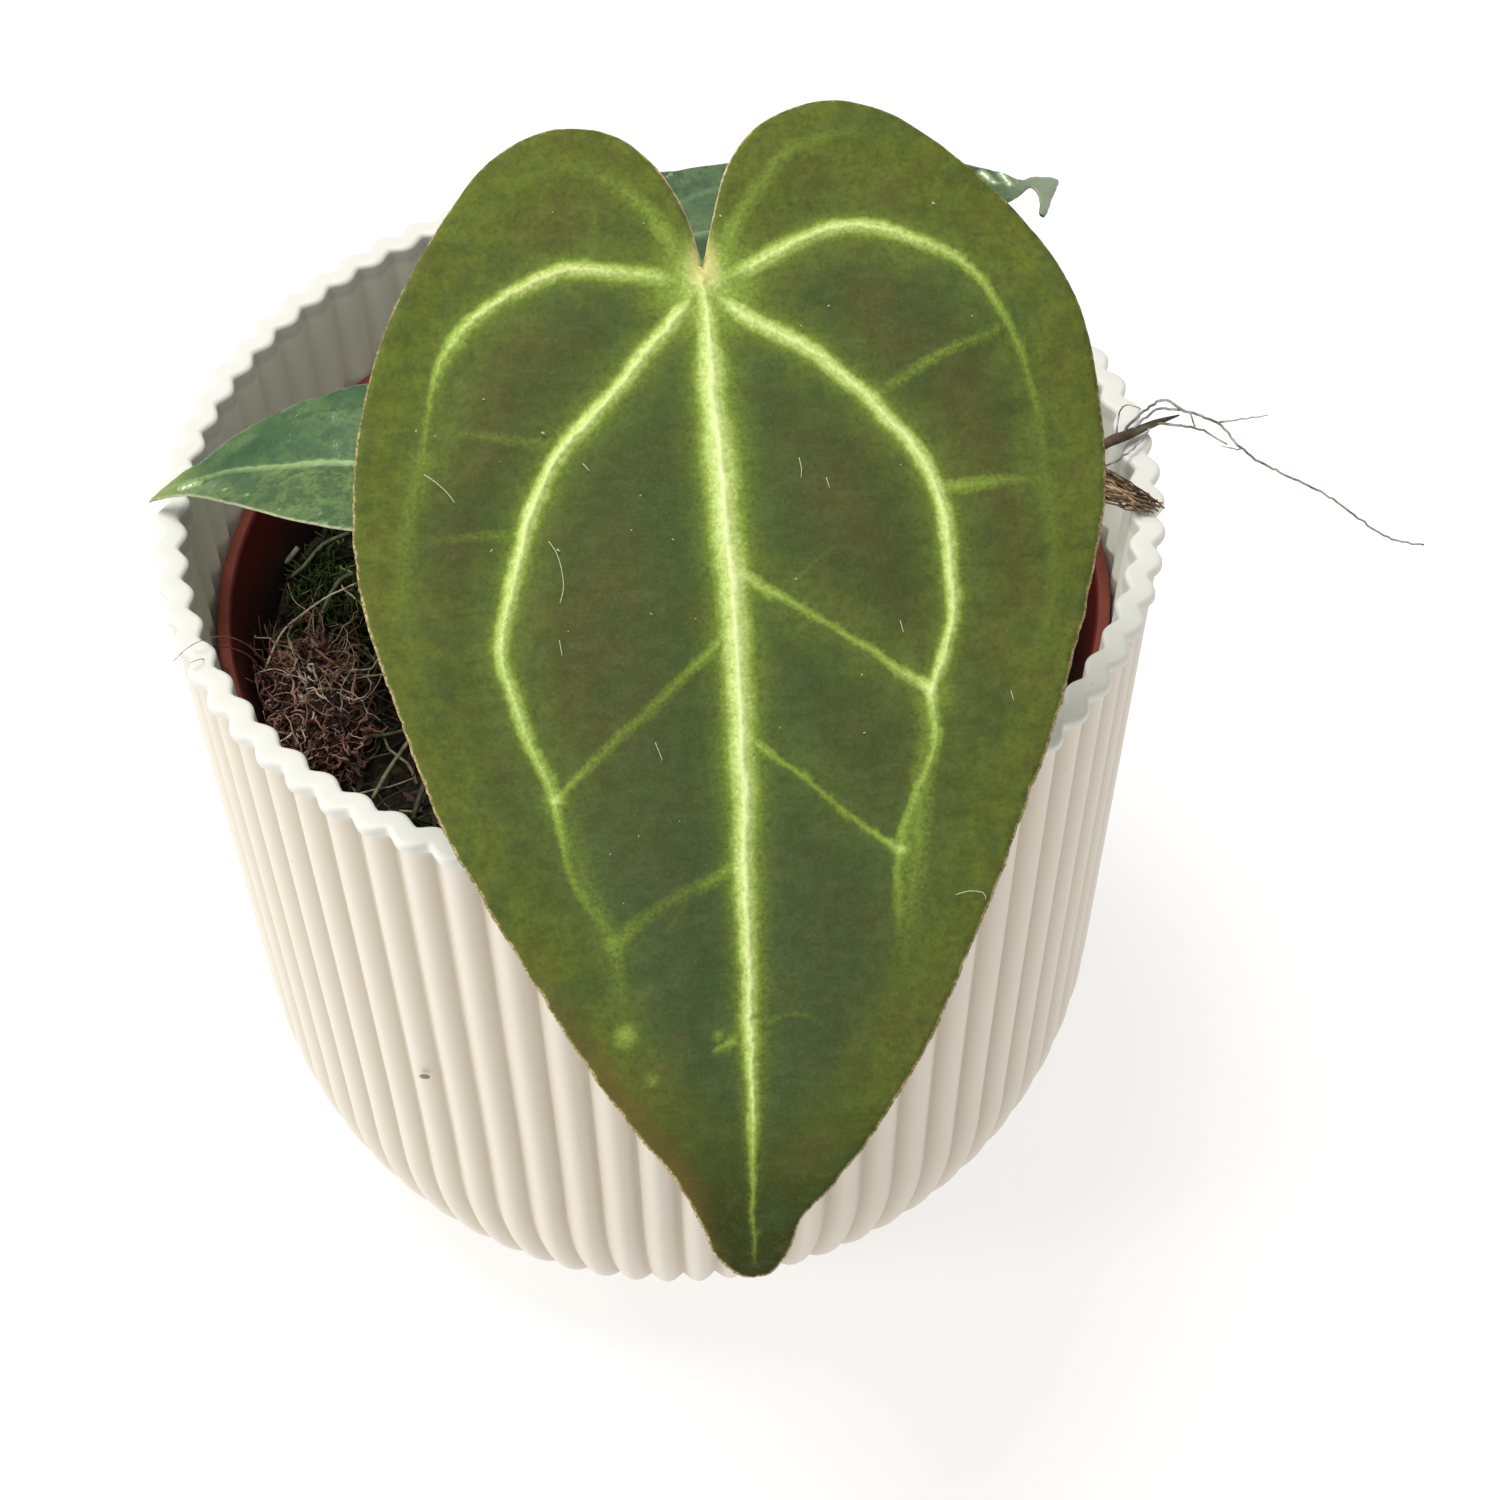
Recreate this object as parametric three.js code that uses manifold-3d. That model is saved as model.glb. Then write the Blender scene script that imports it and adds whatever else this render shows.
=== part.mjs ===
// A young anthurium with three heart-shaped leaves, growing in a thin nursery pot that stands inside a
// fluted cover pot. Millimetres, +Z up. The origin is on the pot's axis at the underside of its base.
// The viewer's side is -Y: the large front leaf hangs over the lip there.

import * as THREE from 'three';
import { mergeVertices } from 'three/addons/utils/BufferGeometryUtils.js';
import Module from 'manifold-3d';

const wasm = await Module();
wasm.setup();

// Cover pot
const POT_HEIGHT = 130;
const FLUTES = 72;
const WALL_RIDGE_RADIUS = 68.8;     // outer ridges, projected to the height of the lip
const WALL_TAPER = 0.0415;          // radius lost for each millimetre down
const FLUTE_DEPTH = 1.7;
const WALL_THICKNESS = 2.6;
const CORNER_RADIUS = 58.3;         // the large rounding that leads from the wall to the base
const CORNER_END = 52.7;            // degrees below the horizontal where it meets the table
const BASE_RING_RADIUS = 40.5;
const LIP_RIDGE_RADIUS = 69.5;
const LIP_WAVE = 1.8;
const LIP_THICKNESS = 3.6;
const LIP_HEIGHT = 4;
const LIP_UNDERCUT = 0.8;
const INNER_FLUTES_END = 104;       // below this height the nursery pot hides the inner flutes
const FLOOR_TOP = 4;

// Nursery pot
const NURSERY_SIDES = 48;
const NURSERY_TOP = 112;
const NURSERY_BOTTOM = 4.3;
const NURSERY_RIM_RADIUS = 63.3;
const NURSERY_RIM_WIDTH = 2.1;
const NURSERY_RIM_HEIGHT = 8.5;
const NURSERY_SHOULDER = 59.4;      // inner radius just under the rim
const NURSERY_FOOT = 38.2;          // inner radius at the floor
const NURSERY_WALL = 1.2;
const DRAIN_HOLES = 6;
const DRAIN_HOLE_RADIUS = 4;
const DRAIN_CIRCLE_RADIUS = 29;

// Potting mix and what stands in it
const MIX_LEVEL = 98;
const GAP = 0.3;                    // clearance between pieces that touch
const CROWN_RADIUS = 6.2;
const CROWN_DEPTH = 14;
const CROWN_TOP = 106;
const ROOT_RADIUS = 1.1;
const ROOT_DEPTH = 5;
const ROOT_X = 44;
const ROOT_Y = 5;
const CLUMP_RADIUS = 50.9;          // distance of the clump's middle from the axis
const CLUMP_ANGLE = 192;
const CLUMP_HALF_WIDTH = 8;
const CLUMP_HALF_LENGTH = 14;
const CLUMP_HEIGHT = 9.5;

const vec = (x, y, z) => new THREE.Vector3(x, y, z);
const radians = THREE.MathUtils.degToRad;

// A fixed sequence of draws between 0 and 1, the same on every run.
function seededDraws(seed) {
  let state = seed;
  return () => {
    state = (state * 16807) % 2147483647;
    return state / 2147483647;
  };
}

function solidFromGeometry(geometry) {
  const bare = new THREE.BufferGeometry();
  bare.setAttribute('position', geometry.getAttribute('position').clone());
  if (geometry.index) bare.setIndex(geometry.index.clone());
  const merged = mergeVertices(bare, 1e-4);
  return new wasm.Manifold(new wasm.Mesh({
    numProp: 3,
    vertProperties: new Float32Array(merged.getAttribute('position').array),
    triVerts: new Uint32Array(merged.index.array),
  }));
}

function geometryFromSolid(solid) {
  const mesh = solid.getMesh();
  const geometry = new THREE.BufferGeometry();
  geometry.setAttribute('position', new THREE.BufferAttribute(new Float32Array(mesh.vertProperties), 3));
  geometry.setIndex(new THREE.BufferAttribute(new Uint32Array(mesh.triVerts), 1));
  return geometry;
}

function geometryFromTriangles(points, triangles) {
  const geometry = new THREE.BufferGeometry();
  const numbers = points.flatMap((p) => [p.x, p.y, p.z]);
  geometry.setAttribute('position', new THREE.Float32BufferAttribute(numbers, 3));
  geometry.setIndex(triangles.flat());
  return geometry;
}

function join(geometries) {
  const solids = geometries.map(solidFromGeometry);
  return geometryFromSolid(solids.reduce((whole, next) => whole.add(next)));
}

function cut(geometry, tools) {
  const solid = solidFromGeometry(geometry);
  return geometryFromSolid(tools.map(solidFromGeometry).reduce((rest, tool) => rest.subtract(tool), solid));
}

function upright(geometry) {
  return geometry.rotateX(Math.PI / 2);
}

// Joins two rings of points that run round the same way. The longer ring may have a whole number of
// points for each point of the shorter one.
function stripBetween(outer, inner, outerStart, innerStart) {
  const triangles = [];
  const ratio = outer / inner;
  for (let i = 0; i < inner; i += 1) {
    const here = innerStart + i;
    const next = innerStart + ((i + 1) % inner);
    for (let k = 0; k < ratio; k += 1) {
      const a = outerStart + i * ratio + k;
      const b = outerStart + ((i * ratio + k + 1) % outer);
      triangles.push([a, b, here]);
    }
    triangles.push([outerStart + (((i + 1) * ratio) % outer), next, here]);
  }
  return triangles;
}

// The cover pot: rings from the middle of the base, up the outside, over the lip and down the inside.
// The flutes are round ridges with sharp valleys between them, outside and inside, half a step apart.
// Ridges stand straight in front, behind, left and right.
function coverPot() {
  const points = [];
  const rings = [];
  const perFlute = 3;
  const around = FLUTES * perFlute;
  const shoulder = Math.sin(Math.PI / perFlute);
  const ridgeAt = (z) => WALL_RIDGE_RADIUS - WALL_TAPER * (POT_HEIGHT - z);
  const lean = Math.atan(WALL_TAPER);
  const cornerZ = CORNER_RADIUS * Math.sin(radians(CORNER_END));
  const cornerR = ridgeAt(cornerZ) - CORNER_RADIUS / Math.cos(lean);
  const ring = (count, offset, place) => {
    rings.push({ start: points.length, count });
    for (let i = 0; i < count; i += 1) {
      const step = i + offset;
      const angle = (step / count) * 2 * Math.PI;
      const inFlute = (step / (count / FLUTES)) % 1;
      const [r, z] = place(inFlute);
      points.push(vec(r * Math.cos(angle), r * Math.sin(angle), z));
    }
  };
  const ridge = (t) => Math.abs(Math.sin(Math.PI * t)) / shoulder;
  const hollow = (t) => Math.abs(Math.cos(Math.PI * t)) / shoulder;

  const outerCorner = (angle) => (t) => {
    const depth = FLUTE_DEPTH * (cornerR + CORNER_RADIUS * Math.cos(angle)) / WALL_RIDGE_RADIUS;
    const reach = CORNER_RADIUS - depth * (1 - ridge(t));
    return [cornerR + reach * Math.cos(angle), Math.max(0, cornerZ - reach * Math.sin(angle))];
  };
  const innerReach = CORNER_RADIUS - FLUTE_DEPTH - WALL_THICKNESS;
  const innerCorner = (angle) => () => [
    cornerR + innerReach * Math.cos(angle),
    cornerZ - innerReach * Math.sin(angle),
  ];

  points.push(vec(0, 0, 0));
  ring(around, 0, () => [BASE_RING_RADIUS, 0]);
  for (const angle of [CORNER_END, 40, 27.5, 15]) ring(around, 0, outerCorner(radians(angle)));
  ring(around, 0, outerCorner(lean));
  const wallTop = POT_HEIGHT - LIP_HEIGHT - LIP_UNDERCUT;
  ring(around, 0, (t) => [ridgeAt(wallTop) - FLUTE_DEPTH * (1 - ridge(t)), wallTop]);
  const lipRadius = (t) => LIP_RIDGE_RADIUS - LIP_WAVE * (1 - ridge(t));
  ring(around, 0, (t) => [lipRadius(t), POT_HEIGHT - LIP_HEIGHT]);
  ring(around, 0, (t) => [lipRadius(t), POT_HEIGHT]);
  const innerLip = LIP_RIDGE_RADIUS - LIP_THICKNESS;
  ring(around, 0.5, (t) => [innerLip - LIP_WAVE * hollow(t), POT_HEIGHT]);
  const innerWall = (z) => ridgeAt(z) - FLUTE_DEPTH - WALL_THICKNESS;
  ring(around, 0.5, (t) => [innerWall(INNER_FLUTES_END) + FLUTE_DEPTH * (1 - hollow(t)), INNER_FLUTES_END]);
  ring(FLUTES, 0, () => [innerWall(INNER_FLUTES_END) - GAP / 2, INNER_FLUTES_END - 4]);
  for (const angle of [radians(2.4), radians(17), radians(34)]) ring(FLUTES, 0, innerCorner(angle));
  const floorAngle = Math.asin((cornerZ - FLOOR_TOP) / innerReach);
  ring(FLUTES, 0, innerCorner(floorAngle));
  points.push(vec(0, 0, FLOOR_TOP));

  const triangles = [];
  const first = rings[0];
  for (let i = 0; i < first.count; i += 1) {
    triangles.push([0, first.start + ((i + 1) % first.count), first.start + i]);
  }
  for (let k = 1; k < rings.length; k += 1) {
    const below = rings[k - 1];
    const above = rings[k];
    triangles.push(...stripBetween(below.count, above.count, below.start, above.start));
  }
  const last = rings[rings.length - 1];
  for (let i = 0; i < last.count; i += 1) {
    triangles.push([points.length - 1, last.start + i, last.start + ((i + 1) % last.count)]);
  }
  return geometryFromTriangles(points, triangles).rotateZ(Math.PI / FLUTES);
}

// Inner radius of the nursery pot's wall at a height below its rim.
function nurseryInside(z) {
  const top = NURSERY_TOP - NURSERY_RIM_HEIGHT;
  const floor = NURSERY_BOTTOM + NURSERY_WALL;
  return NURSERY_FOOT + (NURSERY_SHOULDER - NURSERY_FOOT) * (z - floor) / (top - floor);
}

function nurseryPot() {
  const underRim = NURSERY_TOP - NURSERY_RIM_HEIGHT;
  const floor = NURSERY_BOTTOM + NURSERY_WALL;
  const profile = [
    [0, NURSERY_BOTTOM],
    [NURSERY_FOOT + NURSERY_WALL, NURSERY_BOTTOM],
    [NURSERY_SHOULDER + NURSERY_WALL, underRim],
    [NURSERY_RIM_RADIUS - GAP, underRim + GAP],
    [NURSERY_RIM_RADIUS, NURSERY_TOP - GAP],
    [NURSERY_RIM_RADIUS - GAP, NURSERY_TOP],
    [NURSERY_RIM_RADIUS - NURSERY_RIM_WIDTH, NURSERY_TOP],
    [NURSERY_SHOULDER, underRim],
    [NURSERY_FOOT, floor],
    [0, floor],
  ];
  const cup = new THREE.LatheGeometry(profile.map(([r, z]) => new THREE.Vector2(r, z)), NURSERY_SIDES);
  const drills = [];
  for (let i = 0; i < DRAIN_HOLES; i += 1) {
    const angle = (i / DRAIN_HOLES) * 2 * Math.PI;
    const drill = upright(new THREE.CylinderGeometry(DRAIN_HOLE_RADIUS, DRAIN_HOLE_RADIUS, 6, 12));
    drill.translate(DRAIN_CIRCLE_RADIUS * Math.cos(angle), DRAIN_CIRCLE_RADIUS * Math.sin(angle), floor);
    drills.push(drill);
  }
  return cut(upright(cup), drills);
}

// Distance of a spot on the mix from the middle of the root clump, in the clump's own half sizes.
function clumpSpread(x, y) {
  const turn = radians(CLUMP_ANGLE);
  const outward = x * Math.cos(turn) + y * Math.sin(turn) - CLUMP_RADIUS;
  const along = y * Math.cos(turn) - x * Math.sin(turn);
  return Math.hypot(outward / CLUMP_HALF_WIDTH, along / CLUMP_HALF_LENGTH);
}

// Height of the mix: low lumps, level round the crown, round the root's foot and under the clump.
function mixHeight(x, y) {
  const broad = 1.5 * Math.sin(x / 7 + 1) * Math.cos(y / 6);
  const small = 0.8 * Math.sin(x / 3.3) * Math.sin(y / 3.9 + 2);
  const fromCrown = Math.hypot(x, y) - 10;
  const fromRoot = Math.hypot(x - ROOT_X, y - ROOT_Y) - 4;
  const fromClump = 10 * (clumpSpread(x, y) - 1.1);
  const level = THREE.MathUtils.smoothstep(Math.min(fromCrown, fromClump, fromRoot), 0, 6);
  return MIX_LEVEL + (broad + small) * level;
}

function pottingMix() {
  const bottom = NURSERY_BOTTOM + NURSERY_WALL + GAP;
  const radii = [nurseryInside(MIX_LEVEL) - 2 * GAP, 51, 43, 34, 24, 14];
  const points = [vec(0, 0, bottom)];
  const ring = (r, heightAt) => {
    for (let i = 0; i < NURSERY_SIDES; i += 1) {
      const angle = (i / NURSERY_SIDES) * 2 * Math.PI;
      const x = r * Math.cos(angle);
      const y = r * Math.sin(angle);
      points.push(vec(x, y, heightAt(x, y)));
    }
  };
  ring(nurseryInside(bottom) - 2 * GAP, () => bottom);
  ring(radii[0], () => MIX_LEVEL);
  for (const r of radii.slice(1)) ring(r, mixHeight);
  points.push(vec(0, 0, MIX_LEVEL));
  const triangles = [];
  const middle = points.length - 1;
  const innermost = middle - NURSERY_SIDES;
  for (let i = 0; i < NURSERY_SIDES; i += 1) {
    const next = (i + 1) % NURSERY_SIDES;
    triangles.push([0, 1 + next, 1 + i], [middle, innermost + i, innermost + next]);
  }
  for (let k = 0; k < radii.length; k += 1) {
    triangles.push(...stripBetween(
      NURSERY_SIDES, NURSERY_SIDES, 1 + k * NURSERY_SIDES, 1 + (k + 1) * NURSERY_SIDES,
    ));
  }
  const hole = (radius, depth, sides, x, y) => {
    const drill = upright(new THREE.CylinderGeometry(radius + GAP, radius + GAP, 2 * depth, sides));
    return drill.translate(x, y, MIX_LEVEL);
  };
  return cut(geometryFromTriangles(points, triangles), [
    hole(CROWN_RADIUS, CROWN_DEPTH, 12, 0, 0),
    hole(ROOT_RADIUS, ROOT_DEPTH, 8, ROOT_X, ROOT_Y),
  ]);
}

// A round stalk along a curve, with its own radius at each step and closed ends.
function stalk(curve, radiusAt, sides, steps) {
  const frames = curve.computeFrenetFrames(steps, false);
  const points = [];
  for (let i = 0; i <= steps; i += 1) {
    const centre = curve.getPointAt(i / steps);
    for (let k = 0; k < sides; k += 1) {
      const angle = (k / sides) * 2 * Math.PI;
      const out = frames.normals[i].clone().multiplyScalar(Math.cos(angle));
      out.addScaledVector(frames.binormals[i], Math.sin(angle));
      points.push(centre.clone().addScaledVector(out, radiusAt(i / steps)));
    }
  }
  const triangles = [];
  for (let k = 1; k < sides - 1; k += 1) {
    const end = steps * sides;
    triangles.push([0, k + 1, k], [end, end + k, end + k + 1]);
  }
  for (let i = 0; i < steps; i += 1) {
    triangles.push(...stripBetween(sides, sides, i * sides, (i + 1) * sides));
  }
  return geometryFromTriangles(points, triangles);
}

const spline = (...points) => new THREE.CatmullRomCurve3(points, false, 'centripetal');

// Leaves. Each blade is drawn flat in its own millimetres: u runs across and v from the notch, where the
// petiole meets it, to the tip. The drawing is then bent along its midrib and placed on the plant.
const FRONT_LEAF = {
  notch: vec(5.7, -34, 198.6),
  heading: -90,
  droop: (s) => 40 + 21 * s,
  length: 121,
  dome: 0.0016,
  fold: 0,
  wave: 0.5,
  waveLength: 23,
  thickness: 0.8,
  veinHeight: 0.55,
  spacing: 9,
  midrib: [[0, 0], [0.9, 24], [1.6, 45], [1.3, 75], [0.8, 100], [0, 121]],
  right: [
    [0, 0], [1.4, -5.5], [3.6, -11.8], [7.8, -16.3], [15, -18.4], [22.2, -16.7], [29.8, -11.4], [37.1, -4.3],
    [42.4, 4.3], [44.9, 14.7], [45.2, 27], [42.9, 39], [38.2, 54], [32.4, 69], [27.3, 80.6], [21.6, 92.6],
    [14.5, 103.6], [10.5, 107.2], [5.2, 114.8], [3.5, 119], [0, 121],
  ],
  left: [
    [0, 0], [-0.9, -4], [-2.4, -8], [-5.3, -12.4], [-10, -15.8], [-17, -16.4], [-24, -13], [-31, -4.5],
    [-37.5, 7.2], [-41, 21], [-41.2, 35], [-37.2, 51], [-33.7, 62], [-29, 72], [-23.2, 83.4], [-16.7, 95.3],
    [-10, 106], [-6, 112.2], [-3, 119], [0, 121],
  ],
  veins: [
    { height: 1, width: 1.3, path: [[0, 1], [0.9, 24], [1.6, 45], [1.3, 75], [0.8, 100], [0.2, 119]] },
    {
      height: 1,
      width: 1.2,
      path: [[-1, 3], [-11.3, 13.8], [-19.2, 23], [-24, 36.6], [-24.8, 46], [-20.2, 60]],
    },
    { height: 0.7, width: 1, path: [[-20.2, 60], [-18.6, 69.6], [-14.6, 77.6], [-13.6, 88]] },
    { height: 1, width: 1.2, path: [[1, 3], [9, 8.3], [16, 13.5], [24.5, 24], [27, 39], [23.7, 49.6]] },
    { height: 0.8, width: 1, path: [[23.7, 49.6], [23.8, 56], [19.4, 68], [19.2, 80]] },
    { height: 0.9, width: 1.1, path: [[-1, 2], [-9, 0], [-17, -0.2], [-25, 3.6], [-30.4, 9], [-33, 20]] },
    {
      height: 0.9,
      width: 1.1,
      path: [[1, 2], [9, -1.6], [17, -4], [26, -1.6], [32.5, 3.6], [37, 14], [38.6, 26]],
    },
    { height: 0.6, width: 1, path: [[2.5, 35], [12, 41], [23.7, 49.6]] },
    { height: 0.6, width: 1, path: [[2, 53], [13.8, 63.6], [19.4, 68]] },
    { height: 0.6, width: 1, path: [[0.6, 42], [-10, 51], [-20.2, 60]] },
    { height: 0.5, width: 1, path: [[0.6, 69], [-8.8, 73], [-14.6, 77.6]] },
  ],
};

const LEFT_LEAF = {
  notch: vec(-14.5, -10.5, 144.6),
  heading: 168.6,
  droop: (s) => 1.5 + 39.6 * s ** 2.5,
  length: 58.5,
  dome: 0.004,
  fold: -0.15,
  wave: 0.3,
  waveLength: 17,
  thickness: 0.7,
  veinHeight: 0.4,
  spacing: 8,
  midrib: [[0, 0], [0, 20], [0, 38], [-0.5, 48], [-1, 55], [-0.8, 59.4]],
  right: [
    [0, 0], [1.2, -4], [4, -8.6], [8.6, -9.6], [12.8, -5.6], [15.2, 2], [15.6, 12], [14.3, 23], [13, 28],
    [11.6, 32.7], [9.8, 37], [7.4, 42], [4.8, 46.6], [2.2, 51], [0.4, 55.4], [-0.4, 58], [-0.8, 59.4],
  ],
  left: [
    [0, 0], [-1.2, -4], [-4, -8.6], [-8.4, -9.4], [-12.4, -5.6], [-14.8, 2], [-15.4, 11], [-15, 20],
    [-14.1, 27.8], [-12.4, 33.4], [-10.3, 38.4], [-8.1, 43], [-5.9, 46.8], [-3.7, 51], [-2.4, 55], [-1.5, 58],
    [-0.8, 59.4],
  ],
  veins: [
    { height: 1, width: 1, path: [[0, 1], [0, 20], [0, 38], [-0.5, 48], [-1, 56]] },
    { height: 0.8, width: 0.9, path: [[-0.8, 2], [-7, 9], [-9.6, 20], [-8, 34], [-4.5, 46]] },
    { height: 0.8, width: 0.9, path: [[0.8, 2], [6.5, 9], [9, 20], [7.4, 34], [4, 44]] },
  ],
};

const BACK_LEAF = {
  notch: vec(-5, 27, 150.3),
  heading: 9,
  droop: (s) => -3 + 6 * s + 34 * s ** 7,
  length: 66,
  dome: 0.004,
  fold: -0.08,
  wave: 0.3,
  waveLength: 17,
  thickness: 0.7,
  veinHeight: 0.4,
  spacing: 8,
  midrib: [
    [0, 0], [0.4, 20], [1.6, 40], [2.2, 52], [2.7, 58.5], [3.9, 62], [4.2, 64.2], [2.2, 63.9], [-0.8, 62.9],
    [-4.5, 61.3],
  ],
  right: [
    [0, 0], [1.2, -4], [4, -8.6], [8.4, -9.6], [12.2, -5], [14, 3], [13.9, 12], [13.5, 20], [12.6, 29],
    [11, 38], [8.9, 47], [6.6, 53.4], [5.4, 57.7], [4.3, 60.4], [5.5, 63], [6.9, 67.6], [4.3, 66.5],
    [1.7, 65.1], [-1.4, 63.3], [-4.5, 61.3],
  ],
  left: [
    [0, 0], [-1.2, -4], [-4, -8.6], [-8.6, -9.6], [-12.8, -4.6], [-14.4, 4], [-14.2, 14], [-12.8, 25],
    [-10.6, 36], [-7.2, 46], [-3.9, 53], [-1.4, 57.2], [0.5, 59.3], [2, 60.7], [2.7, 61.8], [1.4, 62.5],
    [-0.8, 62.2], [-4.5, 61.3],
  ],
  veins: [
    { height: 1, width: 1, path: [[0, 1], [0.4, 20], [1.6, 40], [2.2, 52], [2.7, 58.5]] },
    { height: 0.8, width: 0.9, path: [[-0.8, 2], [-6, 10], [-7.6, 22], [-5.4, 38], [-1.6, 50]] },
    { height: 0.8, width: 0.9, path: [[0.8, 2], [6.4, 10], [8.4, 22], [7.4, 38], [4.4, 50]] },
  ],
};

const flat = ([u, v]) => new THREE.Vector2(u, v);

// A smooth line through the given points, with extra points at most one step apart.
function smoothLine(path, step) {
  const curve = new THREE.SplineCurve(path.map(flat));
  const spans = path.length - 1;
  const line = [curve.getPoint(0)];
  for (let i = 0; i < spans; i += 1) {
    const parts = Math.ceil(flat(path[i]).distanceTo(flat(path[i + 1])) / step);
    for (let k = 1; k <= parts; k += 1) line.push(curve.getPoint((i + k / parts) / spans));
  }
  return line;
}

function distanceToLine(point, line) {
  let nearest = Infinity;
  for (let i = 1; i < line.length; i += 1) {
    const side = line[i].clone().sub(line[i - 1]);
    const along = THREE.MathUtils.clamp(point.clone().sub(line[i - 1]).dot(side) / side.lengthSq(), 0, 1);
    nearest = Math.min(nearest, point.distanceTo(line[i - 1].clone().addScaledVector(side, along)));
  }
  return nearest;
}

function insideOutline(point, outline) {
  let inside = false;
  for (let i = 0, j = outline.length - 1; i < outline.length; j = i, i += 1) {
    const a = outline[i];
    const b = outline[j];
    if ((a.y > point.y) !== (b.y > point.y)
      && point.x < a.x + ((point.y - a.y) / (b.y - a.y)) * (b.x - a.x)) inside = !inside;
  }
  return inside;
}

// Splits a set of flat points into well-shaped triangles: each new point opens the triangles whose
// circle holds it and closes the hole with a fan.
function triangulate(points) {
  const far = 4000;
  const n = points.length;
  const all = [...points, ...[[-far, -far], [far, -far], [0, far]].map(flat)];
  const circled = (a, b, c) => {
    const [p, q, r] = [all[a], all[b], all[c]];
    const twice = 2 * ((q.x - p.x) * (r.y - p.y) - (q.y - p.y) * (r.x - p.x));
    const q2 = (q.x - p.x) ** 2 + (q.y - p.y) ** 2;
    const r2 = (r.x - p.x) ** 2 + (r.y - p.y) ** 2;
    const x = ((r.y - p.y) * q2 - (q.y - p.y) * r2) / twice;
    const y = ((q.x - p.x) * r2 - (r.x - p.x) * q2) / twice;
    return { corners: [a, b, c], x: p.x + x, y: p.y + y, radius2: x * x + y * y };
  };
  let triangles = [circled(n, n + 1, n + 2)];
  for (let i = 0; i < n; i += 1) {
    const point = all[i];
    const edges = new Map();
    const kept = [];
    for (const triangle of triangles) {
      if ((point.x - triangle.x) ** 2 + (point.y - triangle.y) ** 2 >= triangle.radius2) {
        kept.push(triangle);
      } else {
        for (let k = 0; k < 3; k += 1) {
          const a = triangle.corners[k];
          const b = triangle.corners[(k + 1) % 3];
          if (edges.has(`${b},${a}`)) edges.delete(`${b},${a}`);
          else edges.set(`${a},${b}`, [a, b]);
        }
      }
    }
    for (const [a, b] of edges.values()) kept.push(circled(a, b, i));
    triangles = kept;
  }
  return triangles.map((triangle) => triangle.corners).filter((corners) => corners.every((c) => c < n));
}

// One half of a blade, as flat points and triangles: first its outline, then the veins with a foot on
// either side, then an even filling.
function halfBlade(leaf, edgePath, side) {
  const edge = smoothLine(edgePath, 4);
  const rib = smoothLine(leaf.midrib, 4);
  const outline = [...edge, ...rib.slice(1, -1).reverse()];
  const points = [...outline];
  const addIfClear = (point, clear) => {
    if (!insideOutline(point, outline)) return;
    if (points.every((other) => other.distanceTo(point) >= clear)) points.push(point);
  };
  const lines = leaf.veins.map((vein) => smoothLine(vein.path, 3.6));
  lines.slice(1).forEach((line) => line.forEach((point) => addIfClear(point, 0.8)));
  lines.forEach((line, index) => line.forEach((point, i) => {
    const along = line[Math.min(i + 1, line.length - 1)].clone().sub(line[Math.max(i - 1, 0)]).normalize();
    const across = new THREE.Vector2(-along.y, along.x).multiplyScalar(leaf.veins[index].width);
    addIfClear(point.clone().add(across), 0.8);
    addIfClear(point.clone().sub(across), 0.8);
  }));
  const row = leaf.spacing * 0.866;
  for (let v = -30, shift = 0; v < leaf.length; v += row, shift = leaf.spacing / 2 - shift) {
    for (let u = shift + leaf.spacing / 3; u < 60; u += leaf.spacing) {
      const point = new THREE.Vector2(side * u, v + 0.07 * u);
      if (lines.every((line) => distanceToLine(point, line) > leaf.spacing * 0.4)) {
        addIfClear(point, leaf.spacing * 0.45);
      }
    }
  }
  const triangles = triangulate(points).filter((corners) => {
    const middle = new THREE.Vector2();
    corners.forEach((c) => middle.add(points[c]));
    return insideOutline(middle.divideScalar(3), outline);
  });
  return { points, triangles };
}

// Where a flat point of a leaf lies in space, lifted off the blade's middle surface.
function placeOnLeaf(leaf, u, v, lift) {
  const heading = radians(leaf.heading);
  const forward = vec(Math.cos(heading), Math.sin(heading), 0);
  const across = vec(-forward.y, forward.x, 0);
  const steps = 24;
  const place = leaf.notch.clone();
  for (let i = 0; i < steps; i += 1) {
    const angle = radians(leaf.droop(Math.max(0, v * (i + 0.5) / steps) / leaf.length));
    place.addScaledVector(forward, (v / steps) * Math.cos(angle));
    place.z -= (v / steps) * Math.sin(angle);
  }
  const slope = radians(leaf.droop(Math.max(0, v) / leaf.length));
  const normal = forward.clone().multiplyScalar(Math.sin(slope));
  normal.z = Math.cos(slope);
  const outward = Math.min(1, Math.abs(u) / 40) ** 2;
  const wave = leaf.wave * outward * Math.sin((2 * Math.PI * v) / leaf.waveLength + (u > 0 ? 0 : 2));
  const rise = lift + wave - leaf.dome * u * u - leaf.fold * Math.abs(u);
  return place.addScaledVector(across, u).addScaledVector(normal, rise);
}

function veinLift(leaf, lines, point) {
  let lift = 0;
  leaf.veins.forEach((vein, i) => {
    const fall = 1 - distanceToLine(point, lines[i]) / vein.width;
    if (fall > 0) lift = Math.max(lift, leaf.veinHeight * vein.height * fall);
  });
  return lift;
}

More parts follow.
